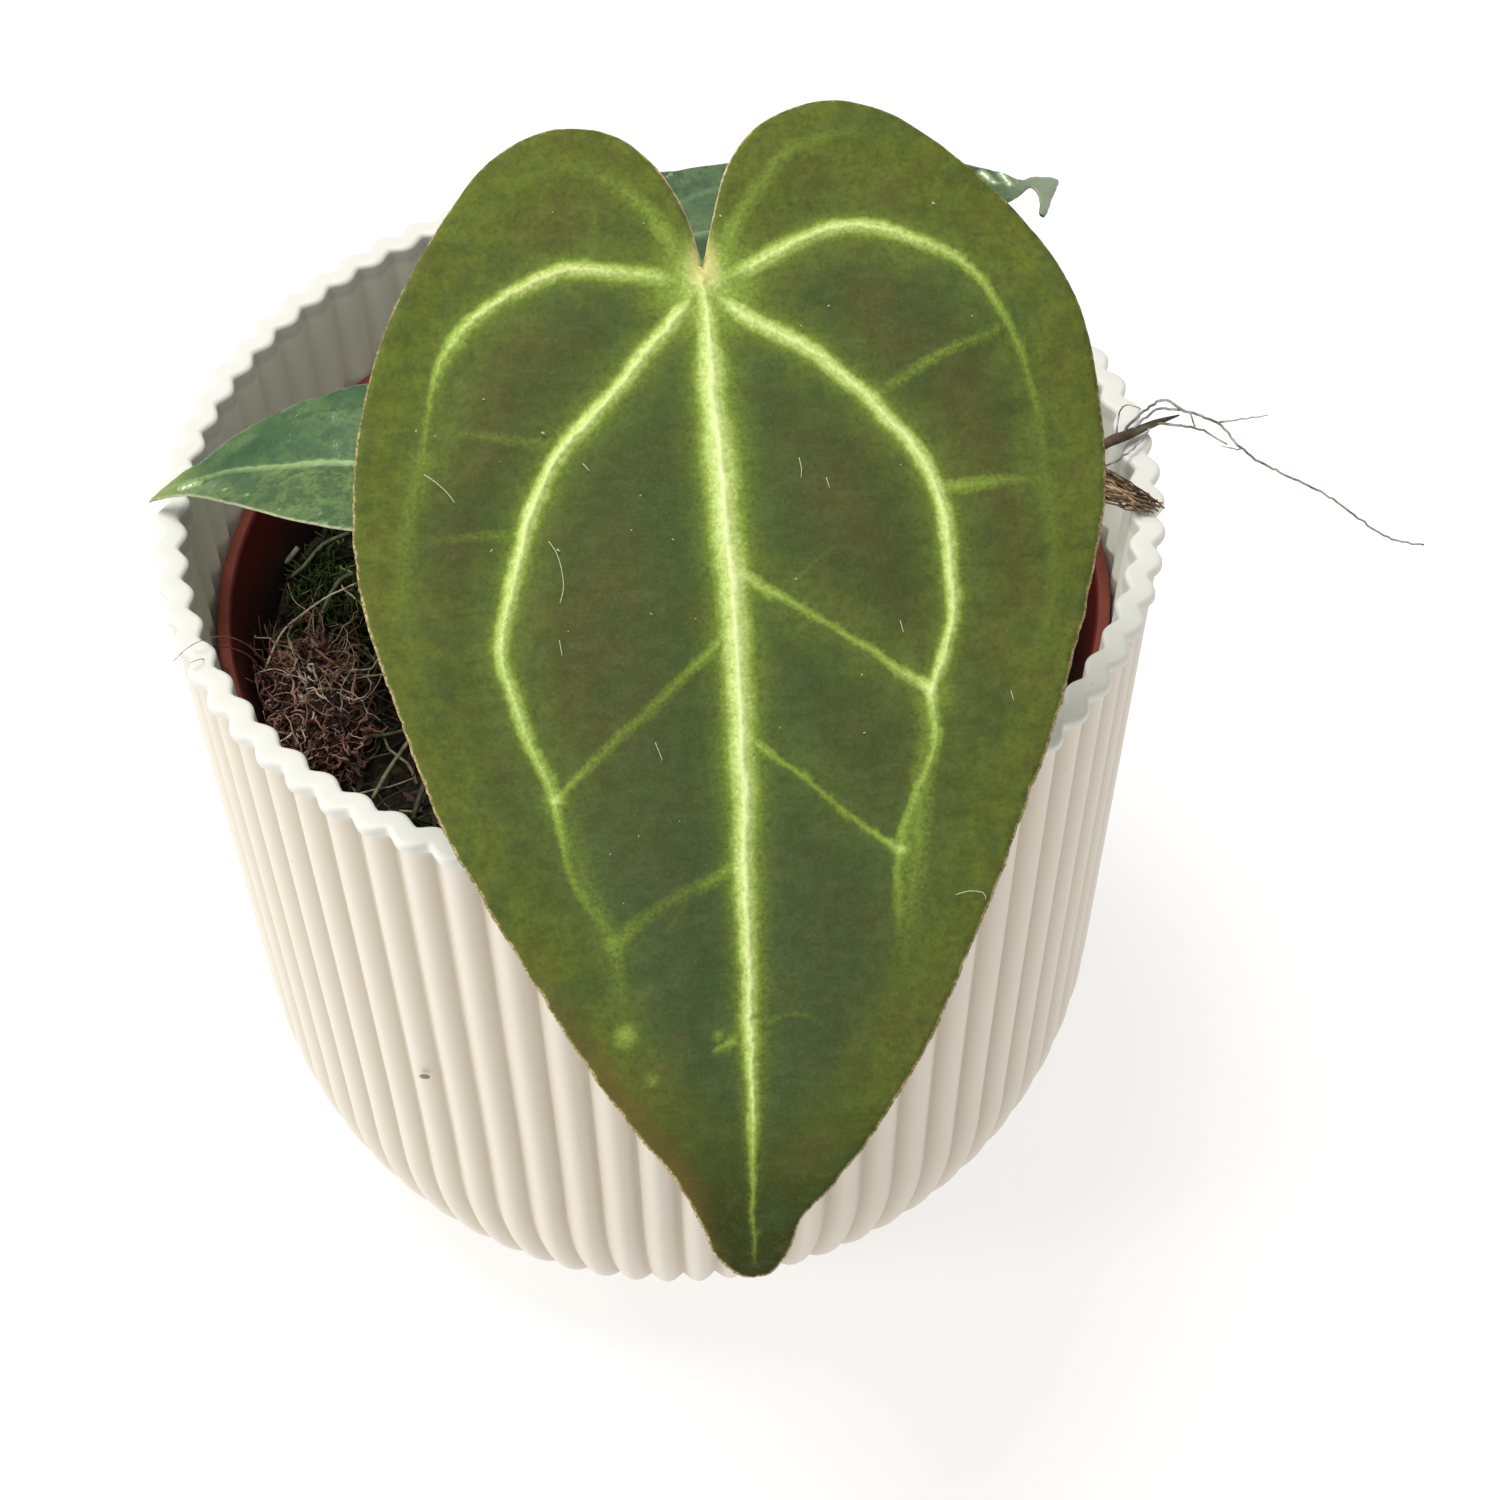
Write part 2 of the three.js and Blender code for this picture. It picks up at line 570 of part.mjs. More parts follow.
// The whole blade: both halves meet at the midrib, and its upper and lower faces share one pattern of
// triangles, so it is equally thick all over apart from the raised veins.
function leafBlade(leaf) {
  const halves = [halfBlade(leaf, leaf.right, 1), halfBlade(leaf, leaf.left, -1)];
  const points = [];
  const index = new Map();
  const triangles = [];
  for (const half of halves) {
    const numbers = half.points.map((point) => {
      const key = `${point.x.toFixed(4)},${point.y.toFixed(4)}`;
      if (!index.has(key)) {
        index.set(key, points.length);
        points.push(point);
      }
      return index.get(key);
    });
    half.triangles.forEach((corners) => triangles.push(corners.map((c) => numbers[c])));
  }
  const lines = leaf.veins.map((vein) => smoothLine(vein.path, 3.6));
  const half = leaf.thickness / 2;
  const top = points.map((p) => placeOnLeaf(leaf, p.x, p.y, half + veinLift(leaf, lines, p)));
  const bottom = points.map((p) => placeOnLeaf(leaf, p.x, p.y, -half));
  const count = points.length;
  const faces = [];
  const edges = new Map();
  for (const corners of triangles) {
    const [a, b, c] = corners.map((i) => points[i]);
    const turn = (b.x - a.x) * (c.y - a.y) - (b.y - a.y) * (c.x - a.x);
    const [i, j, k] = turn < 0 ? corners : [corners[0], corners[2], corners[1]];
    faces.push([i, j, k], [k + count, j + count, i + count]);
    for (const [from, to] of [[i, j], [j, k], [k, i]]) {
      if (edges.has(`${to},${from}`)) edges.delete(`${to},${from}`);
      else edges.set(`${from},${to}`, [from, to]);
    }
  }
  for (const [from, to] of edges.values()) {
    faces.push([from, from + count, to + count], [from, to + count, to]);
  }
  return geometryFromTriangles([...top, ...bottom], faces);
}

// Crown and petioles: one growth. Each petiole ends just under its blade's notch.
function crownWithPetioles() {
  const foot = MIX_LEVEL - CROWN_DEPTH + GAP;
  const profile = [
    [0, foot], [CROWN_RADIUS * 0.7, foot], [CROWN_RADIUS, MIX_LEVEL - 4], [CROWN_RADIUS, MIX_LEVEL + 2],
    [CROWN_RADIUS * 0.75, CROWN_TOP - 2], [0, CROWN_TOP],
  ];
  const stem = upright(new THREE.LatheGeometry(profile.map(([r, z]) => new THREE.Vector2(r, z)), 12));
  const under = (leaf, v, drop) => placeOnLeaf(leaf, 0, v, -leaf.thickness / 2 - GAP - drop);
  const swelling = (s) => 1 + 0.9 * Math.exp(-14 * s) + 0.25 * THREE.MathUtils.smoothstep(s, 0.9, 1);
  const petiole = (radius, ...path) => stalk(spline(...path), (s) => radius * swelling(s), 8, 14);
  const stalks = [
    petiole(
      1.5,
      vec(0.5, -1, 97), vec(1, -3, 122), vec(2.6, -11, 158), vec(5, -26, 186), under(FRONT_LEAF, 3, 0.25),
    ),
    petiole(1.2, vec(-2, 0, 97), vec(-5, -1, 115), vec(-9.5, -4, 133), under(LEFT_LEAF, 2.5, 1)),
    petiole(1.2, vec(0, 2, 97), vec(-1.5, 9, 116), vec(-4.4, 20, 138), under(BACK_LEAF, 2.5, 1)),
  ];
  const sheaths = [[30, 17], [150, 13], [265, 15]].map(([turn, height]) => {
    const out = vec(Math.cos(radians(turn)), Math.sin(radians(turn)), 0);
    const at = (reach, z) => vec(out.x * reach, out.y * reach, z);
    const path = spline(at(4, MIX_LEVEL), at(5.4, MIX_LEVEL + height / 2), at(7.6, MIX_LEVEL + height));
    return stalk(path, (s) => 1.9 * Math.sqrt(1.02 - s), 6, 5);
  });
  return join([stem, ...stalks, ...sheaths]);
}

// Roots. The dark root climbs from the mix and lies over the lip at the right. Fine strands leave it
// there, and lower down a side root that ends in a tuft of fibres on the lip.
function climbingRoots() {
  const main = spline(
    vec(ROOT_X, ROOT_Y, MIX_LEVEL - ROOT_DEPTH + 1), vec(ROOT_X + 0.6, ROOT_Y, MIX_LEVEL + 2),
    vec(49, 4.6, 113), vec(55.5, 3.6, 124), vec(61.6, 3.2, 131.2), vec(65.4, 4.9, 131.5),
    vec(69.6, 6.7, 131.8), vec(73, 7.2, 132.6),
  );
  const strands = [
    spline(
      vec(64.2, 4.6, 131.5), vec(66.4, 6.1, 133.2), vec(68.6, 6.6, 135), vec(70.6, 6.6, 136.2),
      vec(73, 4.4, 136), vec(77.6, 3.8, 134), vec(80.7, 1.1, 131.5), vec(84.8, -0.3, 129),
      vec(93.7, -2.7, 124.5), vec(98.4, -5.7, 122), vec(101.5, -8.2, 121.5), vec(105.3, -10.6, 122.5),
    ),
    spline(vec(66, 5.2, 131.6), vec(68.1, 6.2, 133.5), vec(70, 6.2, 135), vec(73, 4.4, 136)),
    spline(vec(69.6, 6.7, 131.8), vec(72, 5.6, 132.3), vec(75.4, 4.6, 132.2), vec(79.1, 2.5, 131)),
    spline(vec(77.6, 3.8, 134), vec(81, 3.7, 134.5), vec(84.7, 4.4, 134.4)),
    spline(vec(57.4, 3.4, 127), vec(61.4, -0.6, 131.1), vec(66, 2.5, 131.2), vec(69.2, 6.5, 131.8)),
  ];
  const parts = [
    stalk(main, (s) => ROOT_RADIUS * (1 - 0.5 * s), 6, 16),
    stalk(strands[0], (s) => 0.4 - 0.08 * s, 4, 26),
    ...strands.slice(1).map((strand) => stalk(strand, () => 0.34, 4, 7)),
  ];
  const draw = seededDraws(41);
  for (let i = 0; i < 9; i += 1) {
    const side = 2 * draw() - 1;
    const reach = 6.5 * draw();
    const fibre = spline(
      vec(53.4, 4.2, 120.5), vec(58, 0.6 + side, 125.5), vec(61.2, -5 + 2 * side, 131.3),
      vec(62.8 + reach, -8 + 2.2 * side * (1 - reach / 8) - reach * 0.2, 131.5),
    );
    parts.push(stalk(fibre, (s) => 0.85 - 0.5 * s, 4, 6));
  }
  return join(parts);
}

// The fibrous clump at the left front: a low core against the nursery pot's wall, from which bent
// fibres stand out all over.
function rootClump() {
  const turn = radians(CLUMP_ANGLE);
  const foot = MIX_LEVEL + 2 * GAP;
  const inPlace = (outward, along, up) => vec(
    (CLUMP_RADIUS + outward) * Math.cos(turn) - along * Math.sin(turn),
    (CLUMP_RADIUS + outward) * Math.sin(turn) + along * Math.cos(turn),
    foot + up,
  );
  const core = new THREE.IcosahedronGeometry(1, 1);
  core.scale(CLUMP_HALF_WIDTH * 0.8, CLUMP_HALF_LENGTH * 0.8, CLUMP_HEIGHT * 0.8);
  core.rotateZ(turn);
  core.translate(CLUMP_RADIUS * Math.cos(turn), CLUMP_RADIUS * Math.sin(turn), foot);
  const draw = seededDraws(7);
  const fibres = [];
  const count = 40;
  for (let i = 0; i < count; i += 1) {
    const way = radians(i * 137.5 + 20 * draw());
    const rise = Math.asin(0.12 + 0.84 * ((i + 0.5) / count));
    const reach = (k) => inPlace(
      k * CLUMP_HALF_WIDTH * Math.cos(rise) * Math.cos(way),
      k * CLUMP_HALF_LENGTH * Math.cos(rise) * Math.sin(way),
      k * CLUMP_HEIGHT * Math.sin(rise),
    );
    const bend = vec(3.4 * (draw() - 0.5), 5 * (draw() - 0.5), 2.4 * (draw() - 0.4));
    fibres.push(stalk(spline(reach(0.45), reach(0.85), reach(1.08).add(bend)), (s) => 0.95 - 0.6 * s, 3, 3));
  }
  const room = upright(new THREE.CylinderGeometry(
    nurseryInside(foot + 13) - 3 * GAP, nurseryInside(foot) - 3 * GAP, 13, NURSERY_SIDES,
  ));
  room.translate(0, 0, foot + 6.5);
  return geometryFromSolid(solidFromGeometry(join([core, ...fibres])).intersect(solidFromGeometry(room)));
}

const whitePlastic = new THREE.MeshStandardMaterial({ color: 0xe9e6dd, roughness: 0.55, metalness: 0 });
const brownPlastic = new THREE.MeshStandardMaterial({ color: 0x7a3428, roughness: 0.5, metalness: 0 });
const darkMix = new THREE.MeshStandardMaterial({ color: 0x2a211a, roughness: 0.95, metalness: 0 });
const velvetGreen = new THREE.MeshStandardMaterial({ color: 0x55652c, roughness: 0.8, metalness: 0 });
const midGreen = new THREE.MeshStandardMaterial({ color: 0x5a8752, roughness: 0.45, metalness: 0 });
const deepGreen = new THREE.MeshStandardMaterial({ color: 0x3c6a52, roughness: 0.45, metalness: 0 });
const stalkGreen = new THREE.MeshStandardMaterial({ color: 0x7f8f4a, roughness: 0.6, metalness: 0 });
const rootBrown = new THREE.MeshStandardMaterial({ color: 0x5a4a3a, roughness: 0.9, metalness: 0 });
const clumpBrown = new THREE.MeshStandardMaterial({ color: 0x6a4038, roughness: 0.95, metalness: 0 });

function piece(name, geometry, material) {
  const mesh = new THREE.Mesh(geometry, material);
  mesh.name = name;
  return mesh;
}

const plant = new THREE.Group();
plant.add(
  piece('cover_pot', coverPot(), whitePlastic),
  piece('nursery_pot', nurseryPot(), brownPlastic),
  piece('potting_mix', pottingMix(), darkMix),
  piece('crown_with_petioles', crownWithPetioles(), stalkGreen),
  piece('front_leaf', leafBlade(FRONT_LEAF), velvetGreen),
  piece('left_leaf', leafBlade(LEFT_LEAF), midGreen),
  piece('back_leaf', leafBlade(BACK_LEAF), deepGreen),
  piece('climbing_roots', climbingRoots(), rootBrown),
  piece('root_clump', rootClump(), clumpBrown),
);

export default plant;
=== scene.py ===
# A young anthurium with heart-shaped leaves in a nursery pot, inside a fluted cover pot.
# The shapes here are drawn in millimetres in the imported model's frame and made in metres: +Z up, the
# origin on the pot's axis at the underside of its base, and -Y towards the viewer.

import math
import random

import bmesh
import bpy
import numpy as np
from mathutils import Matrix, Vector, noise
from mathutils.geometry import delaunay_2d_cdt


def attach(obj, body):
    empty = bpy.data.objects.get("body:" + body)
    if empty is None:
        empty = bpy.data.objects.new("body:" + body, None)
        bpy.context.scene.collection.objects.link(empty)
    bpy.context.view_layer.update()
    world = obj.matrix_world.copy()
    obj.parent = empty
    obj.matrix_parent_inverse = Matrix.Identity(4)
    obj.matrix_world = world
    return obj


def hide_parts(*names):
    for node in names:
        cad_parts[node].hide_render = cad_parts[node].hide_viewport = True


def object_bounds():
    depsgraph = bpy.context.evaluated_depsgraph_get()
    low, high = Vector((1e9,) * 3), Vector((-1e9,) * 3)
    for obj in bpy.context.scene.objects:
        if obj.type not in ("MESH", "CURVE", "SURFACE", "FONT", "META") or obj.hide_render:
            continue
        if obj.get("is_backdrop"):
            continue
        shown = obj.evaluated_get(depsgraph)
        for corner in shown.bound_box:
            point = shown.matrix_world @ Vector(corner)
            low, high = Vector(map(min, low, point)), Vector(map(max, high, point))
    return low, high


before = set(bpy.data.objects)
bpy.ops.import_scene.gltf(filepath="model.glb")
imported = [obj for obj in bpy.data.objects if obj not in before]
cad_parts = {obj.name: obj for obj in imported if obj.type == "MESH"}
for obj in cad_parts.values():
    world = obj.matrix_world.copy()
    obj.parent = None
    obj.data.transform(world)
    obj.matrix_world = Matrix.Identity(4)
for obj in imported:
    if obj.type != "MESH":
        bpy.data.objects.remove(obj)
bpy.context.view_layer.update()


# Cover pot
# The outer pot is one moulding of off-white matt plastic. Upright flutes run from its rounded lower
# half to a thick waved lip, and it stands on a small flat base with a shallow hollow underneath.

MM = 0.001
POT_HEIGHT = 130.0
FLUTES = 72
POINTS_IN_FLUTE = 12
WALL_RADIUS = 68.8
WALL_TAPER = 0.0415
WALL_THICKNESS = 2.6
FLUTE_DEPTH = 1.7
FLUTE_EASE = 0.04
LIP_EASE = 0.24
CORNER_RADIUS = 58.3
CORNER_END = math.radians(52.7)
BASE_RADIUS = 40.5
LIP_RADIUS = 69.5
LIP_THICKNESS = 3.6
LIP_HEIGHT = 1.8
LIP_WAVE = 1.4
LIP_INNER_WAVE = 1.2
LIP_ROUND = 0.8
LIP_UNDER_ROUND = 0.4
INNER_FLUTES_END = 104.0
POT_FLOOR = 4.0
# Heights over which the lip turns to the cooler white that is painted on it as lit.
LIP_TONE_FROM = 126.6
LIP_TONE_TO = 127.9


def piece_from(name, points, faces):
    """A smooth-shaded piece from points in millimetres."""
    mesh = bpy.data.meshes.new(name)
    mesh.from_pydata((np.asarray(points, float) * MM).tolist(), [], faces)
    mesh.polygons.foreach_set("use_smooth", [True] * len(mesh.polygons))
    piece = bpy.data.objects.new(name, mesh)
    bpy.context.scene.collection.objects.link(piece)
    return piece


def faces_between(rings, around, first=0):
    """Four-sided faces between closed rings that hold equally many points, one ring after another."""
    here = np.arange(around)
    beside = np.roll(here, -1)
    faces = []
    for k in range(rings - 1):
        low = first + k * around
        high = low + around
        faces.append(np.column_stack([low + here, low + beside, high + beside, high + here]))
    return np.concatenate(faces).tolist()


def turned_body(name, rings):
    """A closed body from rings round the Z axis, first to last, each end closed by a fan."""
    around = len(rings[0])
    start = np.mean(rings[0], axis=0)
    end = np.mean(rings[-1], axis=0)
    faces = faces_between(len(rings), around)
    last = (len(rings) - 1) * around
    middle = len(rings) * around
    for i in range(around):
        j = (i + 1) % around
        faces.append([middle, j, i])
        faces.append([middle + 1, last + i, last + j])
    return piece_from(name, np.vstack([*rings, start, end]), faces)


def colour(red, green, blue):
    """A colour as the eye names it, 0 to 255, as the shader wants it."""
    shares = [value / 255 for value in (red, green, blue)]
    linear = [s / 12.92 if s <= 0.04045 else ((s + 0.055) / 1.055) ** 2.4 for s in shares]
    return (*linear, 1.0)


def new_finish(name, roughness, **fixed):
    """A new finish, with the shader's fixed values set."""
    finish = bpy.data.materials.new(name)
    finish.use_nodes = True
    shader = finish.node_tree.nodes["Principled BSDF"]
    shader.inputs["Roughness"].default_value = roughness
    for key, value in fixed.items():
        shader.inputs[key.replace("_", " ")].default_value = value
    return finish


def put(place, kind, inputs=None, **settings):
    """Adds one node to a finish, named itself or by an output in it. An input is a value or an output."""
    tree = place.id_data if isinstance(place, bpy.types.NodeSocket) else place.node_tree
    node = tree.nodes.new("ShaderNode" + kind)
    for name, value in settings.items():
        setattr(node, name, value)
    for name, value in (inputs or {}).items():
        if isinstance(value, bpy.types.NodeSocket):
            tree.links.new(value, node.inputs[name])
        else:
            node.inputs[name].default_value = value
    return node


def set_surface(finish, **inputs):
    """Links outputs to the finish's own shader."""
    shader = finish.node_tree.nodes["Principled BSDF"]
    for name, value in inputs.items():
        finish.node_tree.links.new(value, shader.inputs[name.replace("_", " ")])


def grain(finish, scale, detail=4.0, roughness=0.55, stretch=None):
    """Noise of a size given as patches in a metre, as a factor round 0.5."""
    place = put(finish, "TexCoord").outputs["Object"]
    if stretch:
        place = put(finish, "Mapping", {"Vector": place, "Scale": stretch}).outputs["Vector"]
    looks = {"Vector": place, "Scale": scale, "Detail": detail, "Roughness": roughness}
    return put(finish, "TexNoise", looks).outputs["Fac"]


def carry(piece, name, values):
    """Stores a number at each point of a piece, for its finish to read."""
    held = piece.data.attributes.new(name, "FLOAT", "POINT")
    held.data.foreach_set("value", np.asarray(values, np.float32))


def measured(finish, name):
    """A value that the mesh carries at each point."""
    return put(finish, "Attribute", attribute_name=name).outputs["Fac"]


def ramp(factor, *stops):
    """Colours along a factor; a stop is its place and its colour."""
    node = put(factor, "ValToRGB", {"Fac": factor})
    elements = node.color_ramp.elements
    while len(elements) < len(stops):
        elements.new(0.5)
    for element, (place, shade) in zip(elements, stops):
        element.position = place
        element.color = colour(*shade)
    return node.outputs["Color"]


def between(value, low, high, to_low=0.0, to_high=1.0):
    """Carries a value from one span to another, with soft ends."""
    spans = {"Value": value, "From Min": low, "From Max": high, "To Min": to_low, "To Max": to_high}
    return put(value, "MapRange", spans, interpolation_type="SMOOTHSTEP").outputs["Result"]


def blend(factor, under, over):
    """Two colours mixed by a factor."""
    under, over = (colour(*shade) if isinstance(shade, tuple) else shade for shade in (under, over))
    return put(factor, "Mix", {0: factor, 6: under, 7: over}, data_type="RGBA").outputs[2]


def layer(under, mask, low, high, most, over):
    """A colour laid over another, more so as a mask goes from low to high, up to a largest share."""
    return blend(between(mask, low, high, 0.0, most), under, over)


def height_and_inside(finish):
    """Height on a pot, and a mask of the faces that look towards its axis."""
    place = put(finish, "TexCoord").outputs["Object"]
    height = put(finish, "SeparateXYZ", {"Vector": place}).outputs["Z"]
    outward = put(finish, "VectorMath", {0: place, 1: (1, 1, 0)}, operation="MULTIPLY").outputs["Vector"]
    facing = put(finish, "NewGeometry").outputs["Normal"]
    turned_out = put(finish, "VectorMath", {0: outward, 1: facing}, operation="DOT_PRODUCT").outputs["Value"]
    return height, between(turned_out, -0.01, -0.03)


def relief(finish, height, strength, depth):
    """Fine relief under a finish: depth in millimetres."""
    bump = put(finish, "Bump", {"Height": height, "Strength": strength, "Distance": depth * MM})
    set_surface(finish, Normal=bump.outputs["Normal"])


def crest(phase, ease):
    """Height of a rounded ridge: 1 at its top and 0 in the eased valley beside it."""
    wave = np.cos(math.pi * phase)
    return (np.sqrt(wave**2 + ease**2) - ease) / (math.sqrt(1 + ease**2) - ease)


flute = np.arange(FLUTES * POINTS_IN_FLUTE) / POINTS_IN_FLUTE
flute = flute + 0.5 * np.sin(2 * math.pi * flute) / (2 * math.pi)
pot_angle = flute * 2 * math.pi / FLUTES
outer_crest = crest(flute, FLUTE_EASE)
lip_crest = crest(flute, LIP_EASE)
inner_crest = crest(flute + 0.5, LIP_EASE)
lean = math.atan(WALL_TAPER)


def wall_radius(z):
    return WALL_RADIUS - WALL_TAPER * (POT_HEIGHT - z)


corner_z = CORNER_RADIUS * math.sin(CORNER_END)
corner_r = wall_radius(corner_z) - CORNER_RADIUS / math.cos(lean)
pot_rings = []


def pot_ring(radius, z):
    around = np.ones(len(pot_angle))
    ring = np.column_stack([radius * np.cos(pot_angle), radius * np.sin(pot_angle), z * around])
    pot_rings.append(ring)


pot_ring(BASE_RADIUS - 8, 0.9)
pot_ring(BASE_RADIUS - 3, 0.8)
pot_ring(BASE_RADIUS - 2.2, 0.0)
pot_ring(BASE_RADIUS, 0.0)
for angle in np.linspace(CORNER_END, lean, 28):
    depth = FLUTE_DEPTH * (corner_r + CORNER_RADIUS * math.cos(angle)) / WALL_RADIUS
    reach = CORNER_RADIUS - depth * (1 - outer_crest)
    pot_ring(corner_r + reach * math.cos(angle), np.maximum(0, corner_z - reach * math.sin(angle)))
lip_under = POT_HEIGHT - LIP_HEIGHT
for z in (*np.linspace(corner_z + 8, lip_under - 2, 9), lip_under - 0.6, lip_under - 0.1):
    pot_ring(wall_radius(z) - FLUTE_DEPTH * (1 - outer_crest), z)
lip_outer = LIP_RADIUS - LIP_WAVE * (1 - lip_crest)
lip_inner = LIP_RADIUS - LIP_THICKNESS - LIP_INNER_WAVE * inner_crest
for turn in np.linspace(-math.pi / 2, 0, 5):
    z = lip_under + LIP_UNDER_ROUND * (1 + math.sin(turn))
    pot_ring(lip_outer - LIP_UNDER_ROUND * (1 - math.cos(turn)), z)
for turn in np.linspace(0, math.pi / 2, 7):
    pot_ring(lip_outer - LIP_ROUND * (1 - math.cos(turn)), POT_HEIGHT - LIP_ROUND * (1 - math.sin(turn)))
for turn in np.linspace(math.pi / 2, math.pi, 7):
    pot_ring(lip_inner + LIP_ROUND * (1 + math.cos(turn)), POT_HEIGHT - LIP_ROUND * (1 - math.sin(turn)))
inner_face = wall_radius(INNER_FLUTES_END) - FLUTE_DEPTH - WALL_THICKNESS
for share in (0.1, 0.35, 0.7, 1):
    z = POT_HEIGHT - LIP_ROUND + share * (INNER_FLUTES_END - POT_HEIGHT + LIP_ROUND)
    pot_ring(lip_inner + share * (inner_face + FLUTE_DEPTH * (1 - inner_crest) - lip_inner), z)
pot_ring(inner_face - 0.15, INNER_FLUTES_END - 4)
inner_reach = CORNER_RADIUS - FLUTE_DEPTH - WALL_THICKNESS
floor_angle = math.asin((corner_z - POT_FLOOR) / inner_reach)
for angle in np.linspace(math.radians(2.4), floor_angle, 9):
    pot_ring(corner_r + inner_reach * math.cos(angle), corner_z - inner_reach * math.sin(angle))
pot_ring(8, POT_FLOOR)
cover_pot = turned_body("fluted_cover_pot", pot_rings)
crest_height = np.tile(outer_crest, (len(pot_rings), 1))
crest_height[:4] = 1
carry(cover_pot, "crest", [*crest_height.ravel(), 1, 1])

white_plastic = new_finish("off_white_plastic", 0.5)
cloud = grain(white_plastic, 22, 3)
fleck = between(grain(white_plastic, 1400, 2), 0.74, 0.8)
height, inside = height_and_inside(white_plastic)
# The flutes are painted darker in their valleys and lighter on their crests, by the crest height that the
# mesh carries: painted shade and painted light that deepen the flutes' shading.
painted_valley_shade, on_side, painted_crest_light = (198, 187, 168), (211, 201, 184), (225, 217, 203)
shell = ramp(measured(white_plastic, "crest"), (0.0, painted_valley_shade), (0.4, on_side), (1.0, painted_crest_light))
shell = layer(shell, cloud, 0.3, 0.7, 0.25, (221, 212, 197))
# The faces inside the pot are painted a paler white: painted light in the pot's shaded inside.
shell = blend(inside, shell, (243, 244, 230))
# The lip is painted a cooler white than the walls: painted light, the lip's top shown as lit and the walls as
# in warm shade.
shell = layer(shell, height, LIP_TONE_FROM * MM, LIP_TONE_TO * MM, 1.0, (220, 219, 211))
set_surface(white_plastic, Base_Color=blend(fleck, shell, (196, 186, 168)))
set_surface(white_plastic, Roughness=between(cloud, 0.3, 0.7, 0.46, 0.56))
relief(white_plastic, grain(white_plastic, 900, 5), 0.25, 0.06)
cover_pot.data.materials.append(white_plastic)
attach(cover_pot, "root")
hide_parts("cover_pot")


# Nursery pot
# The grower's pot is thin red-brown plastic, drawn in one shot, with a stiff band round its mouth and
# drain holes in its floor. It stands loose inside the cover pot.

NURSERY_TOP = 112.0
NURSERY_BOTTOM = 4.3
NURSERY_RIM = 63.3
NURSERY_RIM_WIDTH = 2.1
NURSERY_BAND = 8.5
NURSERY_SHOULDER = 59.4
NURSERY_FOOT = 38.2
NURSERY_WALL = 1.2
DRAIN_HOLES = 6
DRAIN_RADIUS = 4.0
DRAIN_CIRCLE = 29.0
SHADED_FROM = 100.0
SHADED_TO = 112.0
SOILED_FROM = 98.0
SOILED_TO = 106.0

band_foot = NURSERY_TOP - NURSERY_BAND
mouth = NURSERY_RIM - NURSERY_RIM_WIDTH
nursery_floor = NURSERY_BOTTOM + NURSERY_WALL


def nursery_inside(z):
    """Inner radius of the nursery pot's wall below its band."""
    share = (z - nursery_floor) / (band_foot - nursery_floor)
    return NURSERY_FOOT + (NURSERY_SHOULDER - NURSERY_FOOT) * share


def ring_of(radius, z, around, wobble=0.0):
    angle = np.arange(around) * 2 * math.pi / around
    radius = radius + wobble * np.sin(3 * angle + 0.6)
    return np.column_stack([radius * np.cos(angle), radius * np.sin(angle), np.full(around, z)])


def sums(operation, first, second=0.0):
    """One step of arithmetic on outputs or numbers."""
    holder = first if isinstance(first, bpy.types.NodeSocket) else second
    return put(holder, "Math", {0: first, 1: second}, operation=operation).outputs[0]


nursery_profile = [
    (20, NURSERY_BOTTOM), (NURSERY_FOOT + 0.4, NURSERY_BOTTOM),
    (NURSERY_FOOT + NURSERY_WALL, NURSERY_BOTTOM + 0.9), (NURSERY_SHOULDER + NURSERY_WALL, band_foot),
    (NURSERY_RIM - 0.5, band_foot + 0.3), (NURSERY_RIM - 0.1, band_foot + 0.8),
    (NURSERY_RIM, NURSERY_TOP - 0.5), (NURSERY_RIM - 0.15, NURSERY_TOP - 0.15),
    (NURSERY_RIM - 0.5, NURSERY_TOP), (mouth + 0.5, NURSERY_TOP),
    (mouth + 0.1, NURSERY_TOP - 0.2), (mouth, NURSERY_TOP - 0.7), (NURSERY_SHOULDER + 0.7, band_foot + 1.5),
    (NURSERY_SHOULDER, band_foot), (NURSERY_FOOT, nursery_floor + 0.8), (NURSERY_FOOT - 0.8, nursery_floor),
    (20, nursery_floor),
]
nursery_pot = turned_body("nursery_pot_shell", [ring_of(r, z, 180, 0.12) for r, z in nursery_profile])
drill_points = []
drill_faces = []
for i in range(DRAIN_HOLES):
    way = i * 2 * math.pi / DRAIN_HOLES
    middle = np.array([DRAIN_CIRCLE * math.cos(way), DRAIN_CIRCLE * math.sin(way), 0])
    start = len(drill_points)
    for z in (NURSERY_BOTTOM - 2, nursery_floor + 2):
        drill_points.extend((ring_of(DRAIN_RADIUS, z, 24) + middle).tolist())
    drill_faces.extend(faces_between(2, 24, start))
    drill_faces.append(list(range(start + 23, start - 1, -1)))
    drill_faces.append(list(range(start + 24, start + 48)))
drill_tool = piece_from("drain_drills", drill_points, drill_faces)
drilling = nursery_pot.modifiers.new("drain", "BOOLEAN")
drilling.operation = "DIFFERENCE"
drilling.solver = "EXACT"
drilling.object = drill_tool
drilled = bpy.data.meshes.new_from_object(nursery_pot.evaluated_get(bpy.context.evaluated_depsgraph_get()))
nursery_pot.modifiers.clear()
nursery_pot.data = drilled
bpy.data.objects.remove(drill_tool)

